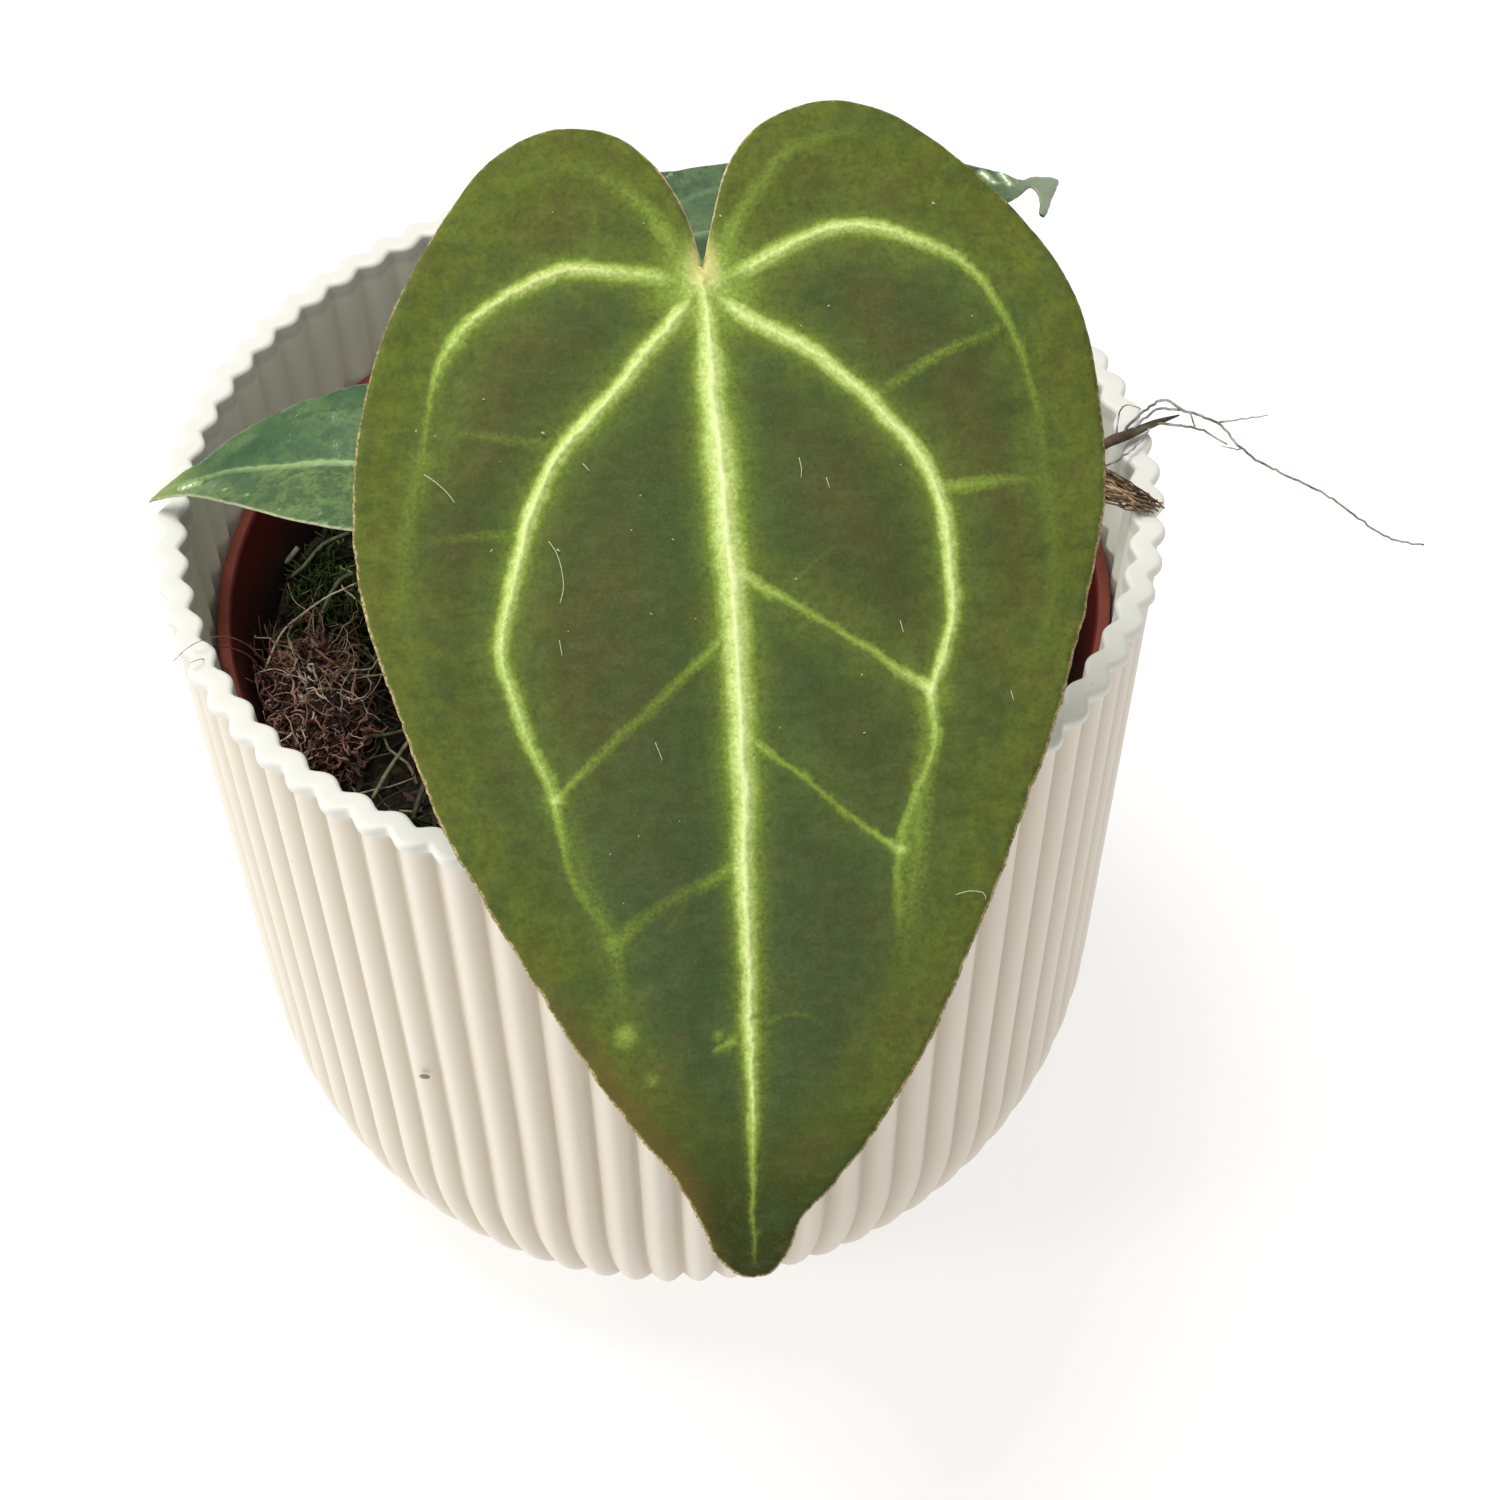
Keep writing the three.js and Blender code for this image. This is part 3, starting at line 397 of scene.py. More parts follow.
red_plastic = new_finish("red_brown_plastic", 0.5, Specular_IOR_Level=0.3)
height, inside = height_and_inside(red_plastic)
streak = grain(red_plastic, 260, 4, 0.6, (1, 1, 0.15))
plain_red = ramp(streak, (0.25, (98, 43, 32)), (0.75, (124, 56, 42)))
# The inner face is painted nearly black low down and a deep red towards the band: painted shade inside the
# pot.
shaded_inner_red = blend(between(height, SHADED_FROM * MM, SHADED_TO * MM), (14, 3, 3), (74, 15, 10))
dirt = between(grain(red_plastic, 500, 5), 0.5, 0.62)
soiled = sums("MULTIPLY", between(height, SOILED_FROM * MM, SOILED_TO * MM, 0.55, 0.0), dirt)
two_sides = blend(inside, plain_red, shaded_inner_red)
set_surface(red_plastic, Base_Color=blend(soiled, two_sides, (26, 16, 13)))
relief(red_plastic, streak, 0.3, 0.08)
nursery_pot.data.materials.clear()
nursery_pot.data.materials.append(red_plastic)
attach(nursery_pot, "root")
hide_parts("nursery_pot")


# Potting mix
# The mix fills the nursery pot to 14 mm under its rim: dark peat and coir, lumpy, with bark chips, pale
# mineral grains, dry twigs and a patch of moss that lie on it.

MIX_LEVEL = 98.0
ROOT_X = 44.0
ROOT_Y = 5.0
CLUMP_RADIUS = 50.9
CLUMP_ANGLE = math.radians(192)
CLUMP_HALF_WIDTH = 8.0
CLUMP_HALF_LENGTH = 14.0
CLUMP_HEIGHT = 9.5
MIX_AROUND = 240
MIX_STEPS = 84


def eased_step(value, low, high):
    share = min(1.0, max(0.0, (value - low) / (high - low)))
    return share * share * (3 - 2 * share)


def clump_spread(x, y):
    """Distance from the middle of the root clump, in the clump's own half sizes."""
    outward = x * math.cos(CLUMP_ANGLE) + y * math.sin(CLUMP_ANGLE) - CLUMP_RADIUS
    along = y * math.cos(CLUMP_ANGLE) - x * math.sin(CLUMP_ANGLE)
    return math.hypot(outward / CLUMP_HALF_WIDTH, along / CLUMP_HALF_LENGTH)


def mix_top(x, y):
    """Height of the mix: broad lumps, calm round what stands in it, with crumbs all over."""
    broad = 1.5 * math.sin(x / 7 + 1) * math.cos(y / 6)
    small = 0.8 * math.sin(x / 3.3) * math.sin(y / 3.9 + 2)
    from_crown = math.hypot(x, y) - 10
    from_root = math.hypot(x - ROOT_X, y - ROOT_Y) - 4
    from_clump = 10 * (clump_spread(x, y) - 1.1)
    level = eased_step(min(from_crown, from_clump, from_root), 0, 6)
    crumbs = noise.fractal(Vector((x / 3.2, y / 3.2, 0)), 0.7, 2.1, 4)
    return MIX_LEVEL + (broad + small) * level + 0.75 * crumbs


mix_rim = nursery_inside(MIX_LEVEL) - 0.1
mix_foot = nursery_floor + 0.1
mix_rings = [ring_of(nursery_inside(mix_foot) - 0.8, mix_foot, MIX_AROUND)]
mix_rings.append(ring_of(mix_rim, MIX_LEVEL - 3, MIX_AROUND))
for step in range(MIX_STEPS):
    flat_ring = ring_of(mix_rim * (1 - (step + 0.02) / MIX_STEPS), 0.0, MIX_AROUND)
    flat_ring[:, 2] = [mix_top(x, y) for x, y, _ in flat_ring]
    mix_rings.append(flat_ring)
mix_body = turned_body("potting_mix_body", mix_rings)

peat = new_finish("dark_mix", 0.95, Specular_IOR_Level=0.2)
clods = grain(peat, 380, 8, 0.7)
fine = grain(peat, 1900, 4)
peat_shade = ramp(clods, (0.36, (14, 12, 8)), (0.5, (30, 27, 17)), (0.6, (51, 45, 28)), (0.74, (84, 76, 50)))
pale_grain = between(fine, 0.68, 0.75)
set_surface(peat, Base_Color=blend(pale_grain, peat_shade, (120, 104, 84)))
relief(peat, sums("ADD", clods, fine), 0.9, 0.9)
mix_body.data.materials.append(peat)
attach(mix_body, "root")
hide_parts("potting_mix")


# Bark chips and grains
# Chips of bark and coir husk, split with the grain, lie pressed in the mix with a few pale grains of
# vermiculite. Each is a small angular lump with its own shade.

BARK_CHIPS = 520
PALE_GRAINS = 90
CROWN_CLEAR = 5.0


def scattered(draw, count):
    """Spots on the mix, even over its face, with the crown left free."""
    spots = []
    outer = nursery_inside(MIX_LEVEL) - 2.5
    while len(spots) < count:
        x, y = draw.uniform(-outer, outer), draw.uniform(-outer, outer)
        if CROWN_CLEAR < math.hypot(x, y) < outer:
            spots.append((x, y))
    return spots


def lump_shape():
    """Corners and faces of a round lump with eighty facets, one across."""
    ball = bpy.data.meshes.new("lump")
    builder = bmesh.new()
    bmesh.ops.create_icosphere(builder, subdivisions=2, radius=0.5)
    builder.to_mesh(ball)
    builder.free()
    corners = np.array([v.co for v in ball.vertices])
    faces = [list(p.vertices) for p in ball.polygons]
    bpy.data.meshes.remove(ball)
    return corners, faces


lump_corners, lump_faces = lump_shape()


def lumps(name, draw, spots, size_of, sink):
    """One piece of many angular lumps, each cut back by a few flat breaks and turned at random."""
    points, faces, shades = [], [], []
    for x, y in spots:
        corners = lump_corners.copy()
        for _ in range(6):
            side = np.array([draw.gauss(0, 1) for _ in range(3)])
            side /= np.linalg.norm(side)
            over = corners @ side - draw.uniform(0.24, 0.4)
            corners -= np.outer(np.maximum(over, 0), side)
        corners *= size_of(draw)
        turned = Matrix.Rotation(draw.uniform(0, 2 * math.pi), 3, "Z")
        tilted = Matrix.Rotation(draw.gauss(0, 0.45), 3, "X")
        corners = corners @ np.array(turned @ tilted).T
        corners += (x, y, mix_top(x, y) + sink * corners[:, 2].max())
        start = len(points) * len(lump_corners)
        points.append(corners)
        faces.extend([[start + k for k in face] for face in lump_faces])
        shades.extend([draw.random()] * len(lump_corners))
    piece = piece_from(name, np.vstack(points), faces)
    carry(piece, "shade", shades)
    return piece


def speckled_finish(name, roughness, key, stops, specks, spread, dark, bumps, strength, depth):
    """Colours by a value that the piece carries, with dark specks in them and fine relief."""
    finish = new_finish(name, roughness)
    shade = ramp(measured(finish, key), *stops)
    set_surface(finish, Base_Color=layer(shade, grain(finish, *specks), *spread, dark))
    relief(finish, grain(finish, *bumps), strength, depth)
    return finish


chip_draw = random.Random(3)
bark_chips = lumps(
    "bark_chips", chip_draw, scattered(chip_draw, BARK_CHIPS),
    lambda d: (d.uniform(2.0, 6.5), d.uniform(1.2, 2.6), d.uniform(0.7, 1.6)), 0.35,
)
bark_lines = (1300, 5, 0.65, (0.35, 1, 1))
bark_chips.data.materials.append(speckled_finish(
    "bark", 0.9, "shade",
    [(0.0, (18, 14, 11)), (0.45, (42, 32, 22)), (0.75, (74, 54, 38)), (0.93, (108, 92, 70))],
    bark_lines, (0.45, 0.7, 0.6), (24, 17, 14), bark_lines, 0.8, 0.35,
))
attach(bark_chips, "root")

grain_draw = random.Random(8)
grain_spots = scattered(grain_draw, PALE_GRAINS) + [(-46.2, 1.3), (-49.5, -3.5), (-44.5, -20.5), (-52.6, 4.2)]
pale_grains = lumps(
    "pale_grains", grain_draw, grain_spots,
    lambda d: (d.uniform(0.8, 1.9), d.uniform(0.8, 1.5), d.uniform(0.6, 1.2)), 0.6,
)
mineral = new_finish("pale_mineral", 0.8)
flake = ramp(measured(mineral, "shade"), (0.1, (120, 104, 84)), (0.9, (196, 192, 176)))
set_surface(mineral, Base_Color=layer(flake, grain(mineral, 1600, 4), 0.5, 0.65, 0.5, (88, 74, 58)))
pale_grains.data.materials.append(mineral)
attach(pale_grains, "root")


# Twigs and dry fibres
# Thin dead roots, grass and coir threads lie criss-cross on the mix, as they fell. A few thicker pale
# ones stand out at the left, beside the root clump.

TWIG_COUNT = 1300


def smooth_path(path, step):
    """A smooth line through the given points, with further points at most a step apart."""
    path = np.asarray(path, float)
    padded = np.vstack([path[0], path, path[-1]])
    line = [path[0]]
    for i in range(len(path) - 1):
        p0, p1, p2, p3 = padded[i:i + 4]
        parts = max(1, math.ceil(np.linalg.norm(p2 - p1) / step))
        for k in range(1, parts + 1):
            t = k / parts
            pull = 0.5 * (p2 - p0) * t + (p0 - 2.5 * p1 + 2 * p2 - 0.5 * p3) * t**2
            line.append(p1 + pull + (1.5 * (p1 - p2) + 0.5 * (p3 - p0)) * t**3)
    return np.array(line)


def strands(name, lines, sides):
    """One piece of many round strands. A strand is its line, its radius at each point and its shade."""
    points, faces, shades, shares = [], [], [], []
    start = 0
    for line, radius, shade in lines:
        count = len(line)
        radius = np.broadcast_to(radius, count)
        ways = np.gradient(line, axis=0)
        ways /= np.linalg.norm(ways, axis=1)[:, None] + 1e-9
        side = np.cross(ways[0], (0.3, 0.5, 0.81))
        rings = []
        turn = np.arange(sides) * 2 * math.pi / sides
        for k in range(count):
            side = side - ways[k] * np.dot(side, ways[k])
            side /= np.linalg.norm(side) + 1e-9
            other = np.cross(ways[k], side)
            rings.append(line[k] + radius[k] * (np.outer(np.cos(turn), side) + np.outer(np.sin(turn), other)))
        points.append(np.vstack(rings))
        faces.extend(faces_between(count, sides, start))
        faces.append(list(range(start + sides - 1, start - 1, -1)))
        faces.append(list(range(start + (count - 1) * sides, start + count * sides)))
        shades.extend([shade] * (count * sides))
        shares.extend(np.repeat(np.linspace(0, 1, count), sides))
        start += count * sides
    piece = piece_from(name, np.vstack(points), faces)
    carry(piece, "shade", shades)
    carry(piece, "share", shares)
    return piece


def wandering(draw, start, way, length, bend, steps):
    """A line that sets out one way and drifts as it goes."""
    line = [np.array(start, float)]
    way = np.array(way, float)
    for _ in range(steps):
        way = way + bend * np.array([draw.gauss(0, 1) for _ in range(3)])
        way /= np.linalg.norm(way)
        line.append(line[-1] + way * length / steps)
    return np.array(line)


def laid_on_mix(line, above):
    """The same line let down until it lies on the mix."""
    rest = np.array([mix_top(x, y) for x, y, _ in line])
    line[:, 2] = np.maximum(np.minimum(line[:, 2], rest + 2.5), rest + above)
    return line


twig_draw = random.Random(21)
twigs = []
for x, y in scattered(twig_draw, TWIG_COUNT):
    heading = twig_draw.uniform(0, 2 * math.pi)
    rise = twig_draw.uniform(-0.1, 0.35)
    path = wandering(
        twig_draw, (x, y, mix_top(x, y) + 0.2), (math.cos(heading), math.sin(heading), rise),
        twig_draw.uniform(3, 14), 0.24, 6,
    )
    inside = np.hypot(path[:, 0], path[:, 1]) < nursery_inside(MIX_LEVEL) - 1
    if inside.all():
        radius = twig_draw.uniform(0.08, 0.34) * np.linspace(1, 0.5, len(path))
        twigs.append((laid_on_mix(path, 0.15), radius, twig_draw.random() ** 1.6))
known_twigs = [
    (0.36, 0.62, [(-51.2, 2.9, 98.6), (-49.8, 9.0, 100.5), (-47.4, 14.0, 101.5), (-45.5, 15.4, 101.0)]),
    (0.42, 0.72, [(-50.1, -1.6, 100.0), (-48.3, 2.1, 102.4)]),
    (0.26, 0.66, [(-45.7, 1.7, 101.0), (-42.5, -2.2, 101.6), (-39.5, -6.0, 100.6)]),
    (0.34, 0.60, [(-55.4, 16.1, 100.0), (-52.9, 17.4, 101.2), (-50.1, 20.7, 102.2), (-46.3, 23.7, 101.4)]),
    (0.46, 0.74, [(-55.7, 19.0, 100.4), (-53.7, 20.9, 101.8)]),
    (0.30, 0.82, [(-42.1, -26.7, 99.6), (-39.8, -23.3, 101.4), (-36.6, -18.6, 102.6)]),
    (0.28, 0.66, [(-43.9, -15.6, 100.4), (-40.7, -16.6, 101.2), (-37.0, -15.4, 101.0)]),
    (0.40, 0.58, [(-36.6, -30.7, 99.4), (-34.7, -26.2, 101.6)]),
    (0.30, 0.64, [(-45.7, -8.5, 101.0), (-43.7, -5.1, 102.4)]),
]
for radius, shade, path in known_twigs:
    twigs.append((smooth_path(path, 1.5), radius, shade))
dry_twigs = strands("dry_twigs", twigs, 5)
dry_twigs.data.materials.append(speckled_finish(
    "dry_straw", 0.85, "shade",
    [(0.0, (22, 18, 14)), (0.4, (50, 49, 33)), (0.65, (88, 90, 63)), (0.9, (152, 145, 112))],
    (900, 4), (0.42, 0.62, 0.5), (40, 32, 26), (2500, 3), 0.5, 0.1,
))
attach(dry_twigs, "root")


# Moss
# Short green moss has grown over the mix at the back left, a pile of tiny bent leaves, with smaller
# cushions of it elsewhere.

MOSS_CUSHIONS = [
    (-50, 16, 11, 900), (-44, 7, 7, 420), (-38, 24, 8, 300), (-12, 40, 9, 320), (26, 36, 8, 260),
    (40, -22, 8, 260), (12, -44, 9, 300), (-32, -34, 6, 160),
]
moss_draw = random.Random(33)
moss_blades = []
for x, y, spread, count in MOSS_CUSHIONS:
    for _ in range(count):
        bx, by = x + moss_draw.gauss(0, spread * 0.5), y + moss_draw.gauss(0, spread * 0.5)
        if not 7 < math.hypot(bx, by) < nursery_inside(MIX_LEVEL) - 1.5:
            continue
        lean_way = moss_draw.uniform(0, 2 * math.pi)
        way = (0.7 * math.cos(lean_way), 0.7 * math.sin(lean_way), 0.9)
        foot = (bx, by, mix_top(bx, by) - 0.3)
        blade = wandering(moss_draw, foot, way, moss_draw.uniform(1.6, 5.4), 0.4, 3)
        radius = moss_draw.uniform(0.16, 0.3) * np.array([1, 1, 0.8, 0.2])
        moss_blades.append((blade, radius, moss_draw.random()))
moss = strands("moss_cushions", moss_blades, 3)
moss_green = new_finish("moss_green", 0.9, Specular_IOR_Level=0.15)
moss_shade = ramp(measured(moss_green, "shade"), (0.0, (6, 14, 3)), (0.6, (17, 33, 6)), (1.0, (50, 70, 20)))
tipped = layer(moss_shade, measured(moss_green, "share"), 0.3, 1.0, 0.25, (76, 90, 38))
set_surface(moss_green, Base_Color=tipped)
relief(moss_green, grain(moss_green, 2500, 3), 0.4, 0.1)
moss.data.materials.append(moss_green)
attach(moss, "root")


# Crown and petioles
# One short stem stands in the mix, ringed by old leaf scars. Three petioles leave it, each a smooth round
# stalk with a swollen joint under its blade, and papery sheaths wrap their feet.

CROWN_RADIUS = 6.2
CROWN_FOOT = MIX_LEVEL - 13.7
CROWN_TOP = 106.0
SHEATHS = [(30, 17.0), (150, 13.0), (265, 15.0)]

# The leaves' own sizes. A blade is drawn flat, u across and v from the notch to the tip, then bent along
# its midrib and placed. A vein is its widths and its paleness from start to end, and its path; a spot is
# its place, size and paleness.
FRONT_LEAF = {
    "notch": (5.7, -34.0, 198.6), "heading": -90.0, "droop": lambda s: 40 + 21 * s, "length": 121.0,
    "dome": 0.0016, "fold": 0.0, "wave": 0.5, "wave_length": 23.0, "thickness": 0.62, "spacing": 0.62,
    "pillow": 0.55, "ripple": 0.22,
    "right": [
        (0, 0), (1.4, -5.5), (3.6, -11.8), (7.8, -16.3), (15, -18.4), (22.2, -16.7), (29.8, -11.4),
        (37.1, -4.3), (42.4, 4.3), (44.9, 14.7), (45.2, 27), (42.9, 39), (38.2, 54), (32.4, 69),
        (27.3, 80.6), (21.6, 92.6), (14.5, 103.6), (10.9, 108), (8.9, 110.3), (6, 113.4), (5.3, 115.6),
        (3.9, 118.7), (2, 120.5), (0, 121),
    ],
    "left": [
        (0, 0), (-0.9, -4), (-2.4, -8), (-5.3, -12.4), (-10, -15.8), (-17, -16.4), (-24, -13), (-31, -4.5),
        (-37.5, 7.2), (-41, 21), (-41.2, 35), (-37.2, 51), (-33.7, 62), (-29, 72), (-23.2, 83.4),
        (-16.7, 95.3), (-9.8, 105.8), (-8.2, 108.3), (-6.4, 112.6), (-4.6, 117.1), (-3.2, 119.3),
        (-1.3, 120.8), (0, 121),
    ],
    "veins": [
        ((1.3, 2.5, 2.75, 2.6, 2.4, 2.4, 2.15, 1.8, 1.5, 1.15, 0.6, 0.4),
         (0.75, 1, 1, 0.98, 0.96, 0.96, 0.95, 0.94, 0.9, 0.78, 0.4, 0.1),
         [(0, 1), (0.9, 24), (1.6, 45), (1.3, 75), (0.8, 100), (0.2, 119)]),
        ((1.5, 1.4, 1.5, 1.3, 1.2), (0.8, 0.84, 0.86, 0.72, 0.48),
         [(-1, 3), (-11.3, 13.8), (-19.2, 23), (-24, 36.6), (-24.8, 46), (-20.2, 60)]),
        ((1.0, 0.9, 1.2, 1.6, 2.0), (0.44, 0.24, 0.16, 0.14, 0.04),
         [(-20.2, 60), (-18.6, 69.6), (-14.6, 77.6), (-13.6, 88)]),
        ((1.8, 1.4, 1.4, 1.4, 1.2), (0.8, 0.84, 0.87, 0.84, 0.74),
         [(1, 3), (9, 8.3), (16, 13.5), (24.5, 24), (27, 39), (23.7, 49.6)]),
        ((1.2, 1.1, 1.0, 1.1, 1.4), (0.66, 0.42, 0.36, 0.26, 0.06),
         [(23.7, 49.6), (23.8, 56), (19.4, 68), (19.2, 80)]),
        ((1.5, 1.5, 1.4, 1.3, 1.2, 1.1, 0.8, 0.9), (0.5, 0.66, 0.72, 0.74, 0.68, 0.54, 0.26, 0.12),
         [(-1, 2), (-9, 0), (-17, -0.2), (-25, 3.6), (-30.4, 9), (-33, 20)]),
        ((1.6, 1.5, 1.4, 1.2, 0.9, 0.8, 1.0, 1.0), (0.66, 0.74, 0.78, 0.68, 0.46, 0.26, 0.16, 0.08),
         [(1, 2), (9, -1.6), (17, -4), (26, -1.6), (32.5, 3.6), (37, 14), (38.6, 26)]),
        ((1.3, 0.75, 0.6, 0.8, 1.2), (0.58, 0.4, 0.36, 0.44, 0.72), [(2.5, 35), (12, 41), (23.7, 49.6)]),
        ((1.1, 0.6, 0.5, 0.6, 0.8), (0.5, 0.32, 0.3, 0.3, 0.5), [(2, 53), (13.8, 63.6), (19.4, 68)]),
        ((1.3, 1.0, 1.2, 1.1, 0.9), (0.36, 0.2, 0.15, 0.18, 0.34), [(0.6, 42), (-10, 51), (-20.2, 60)]),
        ((1.6, 1.4, 1.6, 2.0), (0.3, 0.12, 0.12, 0.2), [(0.6, 69), (-8.8, 73), (-14.6, 77.6)]),
        ((1.2, 1.0), (0.16, 0.06), [(-23, 29.2), (-33.9, 29.2)]),
        ((1.2, 1.0), (0.14, 0.08), [(-18.5, 19.2), (-32, 16.7)]),
        ((1.3, 1.0, 1.0), (0.14, 0.2, 0.12), [(20.1, 14.8), (27, 11), (34.4, 7.9)]),
        ((1.6, 1.1, 1.0), (0.3, 0.22, 0.1), [(27.1, 26.3), (32, 25.8), (38.2, 25.8)]),
        ((2.3, 1.8, 1.6, 1.6, 1.6), (0.38, 0.22, 0.13, 0.08, 0.02),
         [(-1.4, 0.1), (-4.1, -4), (-6.7, -7.6), (-13.3, -12), (-20, -11), (-26, -7)]),
        ((2.3, 1.8, 1.5, 1.5, 1.5), (0.38, 0.22, 0.16, 0.1, 0.02),
         [(2, -0.3), (4, -4.8), (6.5, -8.7), (10.7, -13.1), (17.4, -14.6), (24, -12)]),
        ((1.2, 1.0), (0.08, 0.1), [(-12.4, -1), (-12, -8)]),
        ((2.2, 2.2, 2.0), (0.12, 0.1, 0.02), [(38.6, 26), (38.4, 40), (33.6, 55)]),
        ((2.4, 2.2, 2.0), (0.16, 0.1, 0.02), [(-33, 20), (-36, 36), (-32.6, 54)]),
        ((2.6, 2.6, 2.4), (0.2, 0.2, 0.06), [(23.7, 51), (22, 63), (19.2, 84)]),
        ((2.6, 2.6, 2.4), (0.12, 0.12, 0.05), [(-20.2, 61), (-15.6, 75), (-13.6, 90)]),
        ((0.9, 0.7), (0.1, 0.02), [(9, 36), (14, 32.6), (18, 33.4)]),
        ((0.9, 0.7), (0.09, 0.02), [(-8, 76), (-3.4, 70)]),
        ((0.9, 0.7, 0.7), (0.14, 0.07, 0.02), [(1.2, 88), (8, 87.4), (13.6, 93)]),
        ((1.0, 0.7), (0.34, 0.24), [(-0.8, 90.2), (-3.2, 91)]),
    ],
    "spots": [
        (0.2, 1.0, 3.6, 0.64), (0.3, 2.2, 5.6, 0.44), (-13.7, 88.6, 1.5, 0.34), (-10.8, 94.3, 0.9, 0.2),
        (-2.6, 89.2, 0.8, 0.22), (-14.4, 77.6, 2.2, 0.12), (24, 50, 2.6, 0.24), (-20.4, 60, 2.0, 0.2),
        (2, 36, 2.6, 0.3), (2, 54, 2.2, 0.24), (23.7, 49.7, 0.9, 0.82), (-20.2, 59.8, 1.0, 0.66),
        (19.4, 68, 0.9, 0.6),
    ],
}
SMALL_LEAF = {
    "dome": 0.004, "wave": 0.3, "wave_length": 17.0, "thickness": 0.5, "spacing": 0.5, "pillow": 0.3,
    "ripple": 0.08,
}
LEFT_LEAF = {
    **SMALL_LEAF, "notch": (-14.5, -10.5, 144.6), "heading": 168.6, "length": 58.5,
    "droop": lambda s: 1.5 + 39.6 * s**2.5, "fold": -0.15,
    "right": [
        (0, 0), (1.2, -4), (4, -8.6), (8.6, -9.6), (12.8, -5.6), (15.2, 2), (15.6, 12), (14.3, 23), (13, 28),
        (11.6, 32.7), (9.8, 37), (7.4, 42), (4.8, 46.6), (2.2, 51), (0.4, 55.4), (-0.4, 58), (-0.8, 59.4),
    ],
    "left": [
        (0, 0), (-1.2, -4), (-4, -8.6), (-8.4, -9.4), (-12.4, -5.6), (-14.8, 2), (-15.4, 11), (-15, 20),
        (-14.1, 27.8), (-12.4, 33.4), (-10.3, 38.4), (-8.1, 43), (-5.9, 46.8), (-3.7, 51), (-2.4, 55),
        (-1.5, 58), (-0.8, 59.4),
    ],
    "veins": [
        ((1.4, 1.2, 0.9, 0.7), (0.8, 0.8, 0.66, 0.3), [(0, 1), (0, 20), (0, 38), (-0.5, 48), (-1, 56)]),
        ((1.2, 1.0, 0.8), (0.2, 0.14, 0.06), [(-0.8, 2), (-7, 9), (-9.6, 20), (-8, 34), (-4.5, 46)]),
        ((1.2, 1.0, 0.8), (0.2, 0.14, 0.06), [(0.8, 2), (6.5, 9), (9, 20), (7.4, 34), (4, 44)]),
        ((0.8, 0.6), (0.2, 0.05), [(0, 12), (5, 17), (9, 24), (11, 29)]),
        ((0.8, 0.6), (0.2, 0.05), [(0, 24), (4, 29), (8, 35)]),
        ((0.8, 0.6), (0.2, 0.05), [(0, 14), (-5, 19), (-9.5, 27)]),
        ((0.8, 0.6), (0.2, 0.05), [(0, 27), (-4, 32), (-7.6, 38)]),
    ],
    # Every spot after the first is a painted highlight: glints on the tip, turned near white by the finish.
    "spots": [
        (0, 1, 2.6, 0.4), (0.4, 49.4, 0.45, 1.2), (0.2, 50.1, 0.5, 1.3), (0.1, 50.8, 0.5, 1.3),
        (0.0, 51.5, 0.5, 1.3), (-0.1, 52.2, 0.5, 1.3), (-0.2, 52.9, 0.4, 1.2), (2.0, 46.5, 0.3, 0.95),
        (4.1, 43.6, 0.3, 0.95), (6.5, 39.6, 0.3, 0.95),
    ],
}
BACK_LEAF = {
    **SMALL_LEAF, "notch": (-5.0, 27.0, 150.3), "heading": 9.0, "length": 66.0,
    "droop": lambda s: -3 + 6 * s + 34 * s**7, "fold": -0.08,
    "right": [
        (0, 0), (1.2, -4), (4, -8.6), (8.4, -9.6), (12.2, -5), (14, 3), (13.9, 12), (13.5, 20), (12.6, 29),
        (11, 38), (8.9, 47), (6.6, 53.4), (5.4, 57.7), (4.3, 60.4), (5.5, 63), (6.9, 67.6), (4.3, 66.5),
        (1.7, 65.1), (-1.4, 63.4), (-3.7, 62.0), (-4.5, 61.3),
    ],
    "left": [
        (0, 0), (-1.2, -4), (-4, -8.6), (-8.6, -9.6), (-12.8, -4.6), (-14.4, 4), (-14.2, 14), (-12.8, 25),
        (-10.6, 36), (-7.2, 46), (-3.9, 53), (-1.4, 57.2), (0.5, 59.3), (2, 60.7), (2.7, 61.8), (1.4, 62.5),
        (-0.8, 62.0), (-3.6, 60.9), (-4.5, 61.3),
    ],
    "veins": [
        ((1.3, 1.1, 0.9, 0.7), (0.4, 0.4, 0.5, 0.4), [(0, 1), (0.4, 20), (1.6, 40), (2.2, 52), (2.7, 58.5)]),
        ((1.2, 1.0, 0.8), (0.3, 0.22, 0.1), [(-0.8, 2), (-6, 10), (-7.6, 22), (-5.4, 38), (-1.6, 50)]),
        ((1.2, 1.0, 0.8), (0.3, 0.22, 0.1), [(0.8, 2), (6.4, 10), (8.4, 22), (7.4, 38), (4.4, 50)]),
        ((0.8, 0.6), (0.2, 0.05), [(0.3, 14), (5, 20), (8, 28)]),
        ((0.8, 0.6), (0.2, 0.05), [(1, 28), (-3, 33), (-5.4, 38)]),
    ],
    # Every spot after the first is a painted glint: pale strokes of reflected light on the hook.
    "spots": [
        (0, 1, 2.6, 0.4), (4.9, 54.6, 0.7, 1.4), (4.3, 55.0, 0.7, 1.4), (3.6, 55.4, 0.6, 1.4),
        (2.9, 55.8, 0.6, 1.4), (4.7, 57.4, 0.6, 1.4), (4.0, 57.7, 0.6, 1.4), (3.2, 57.9, 0.5, 1.4),
        (2.4, 58.2, 0.5, 1.4),
    ],
}


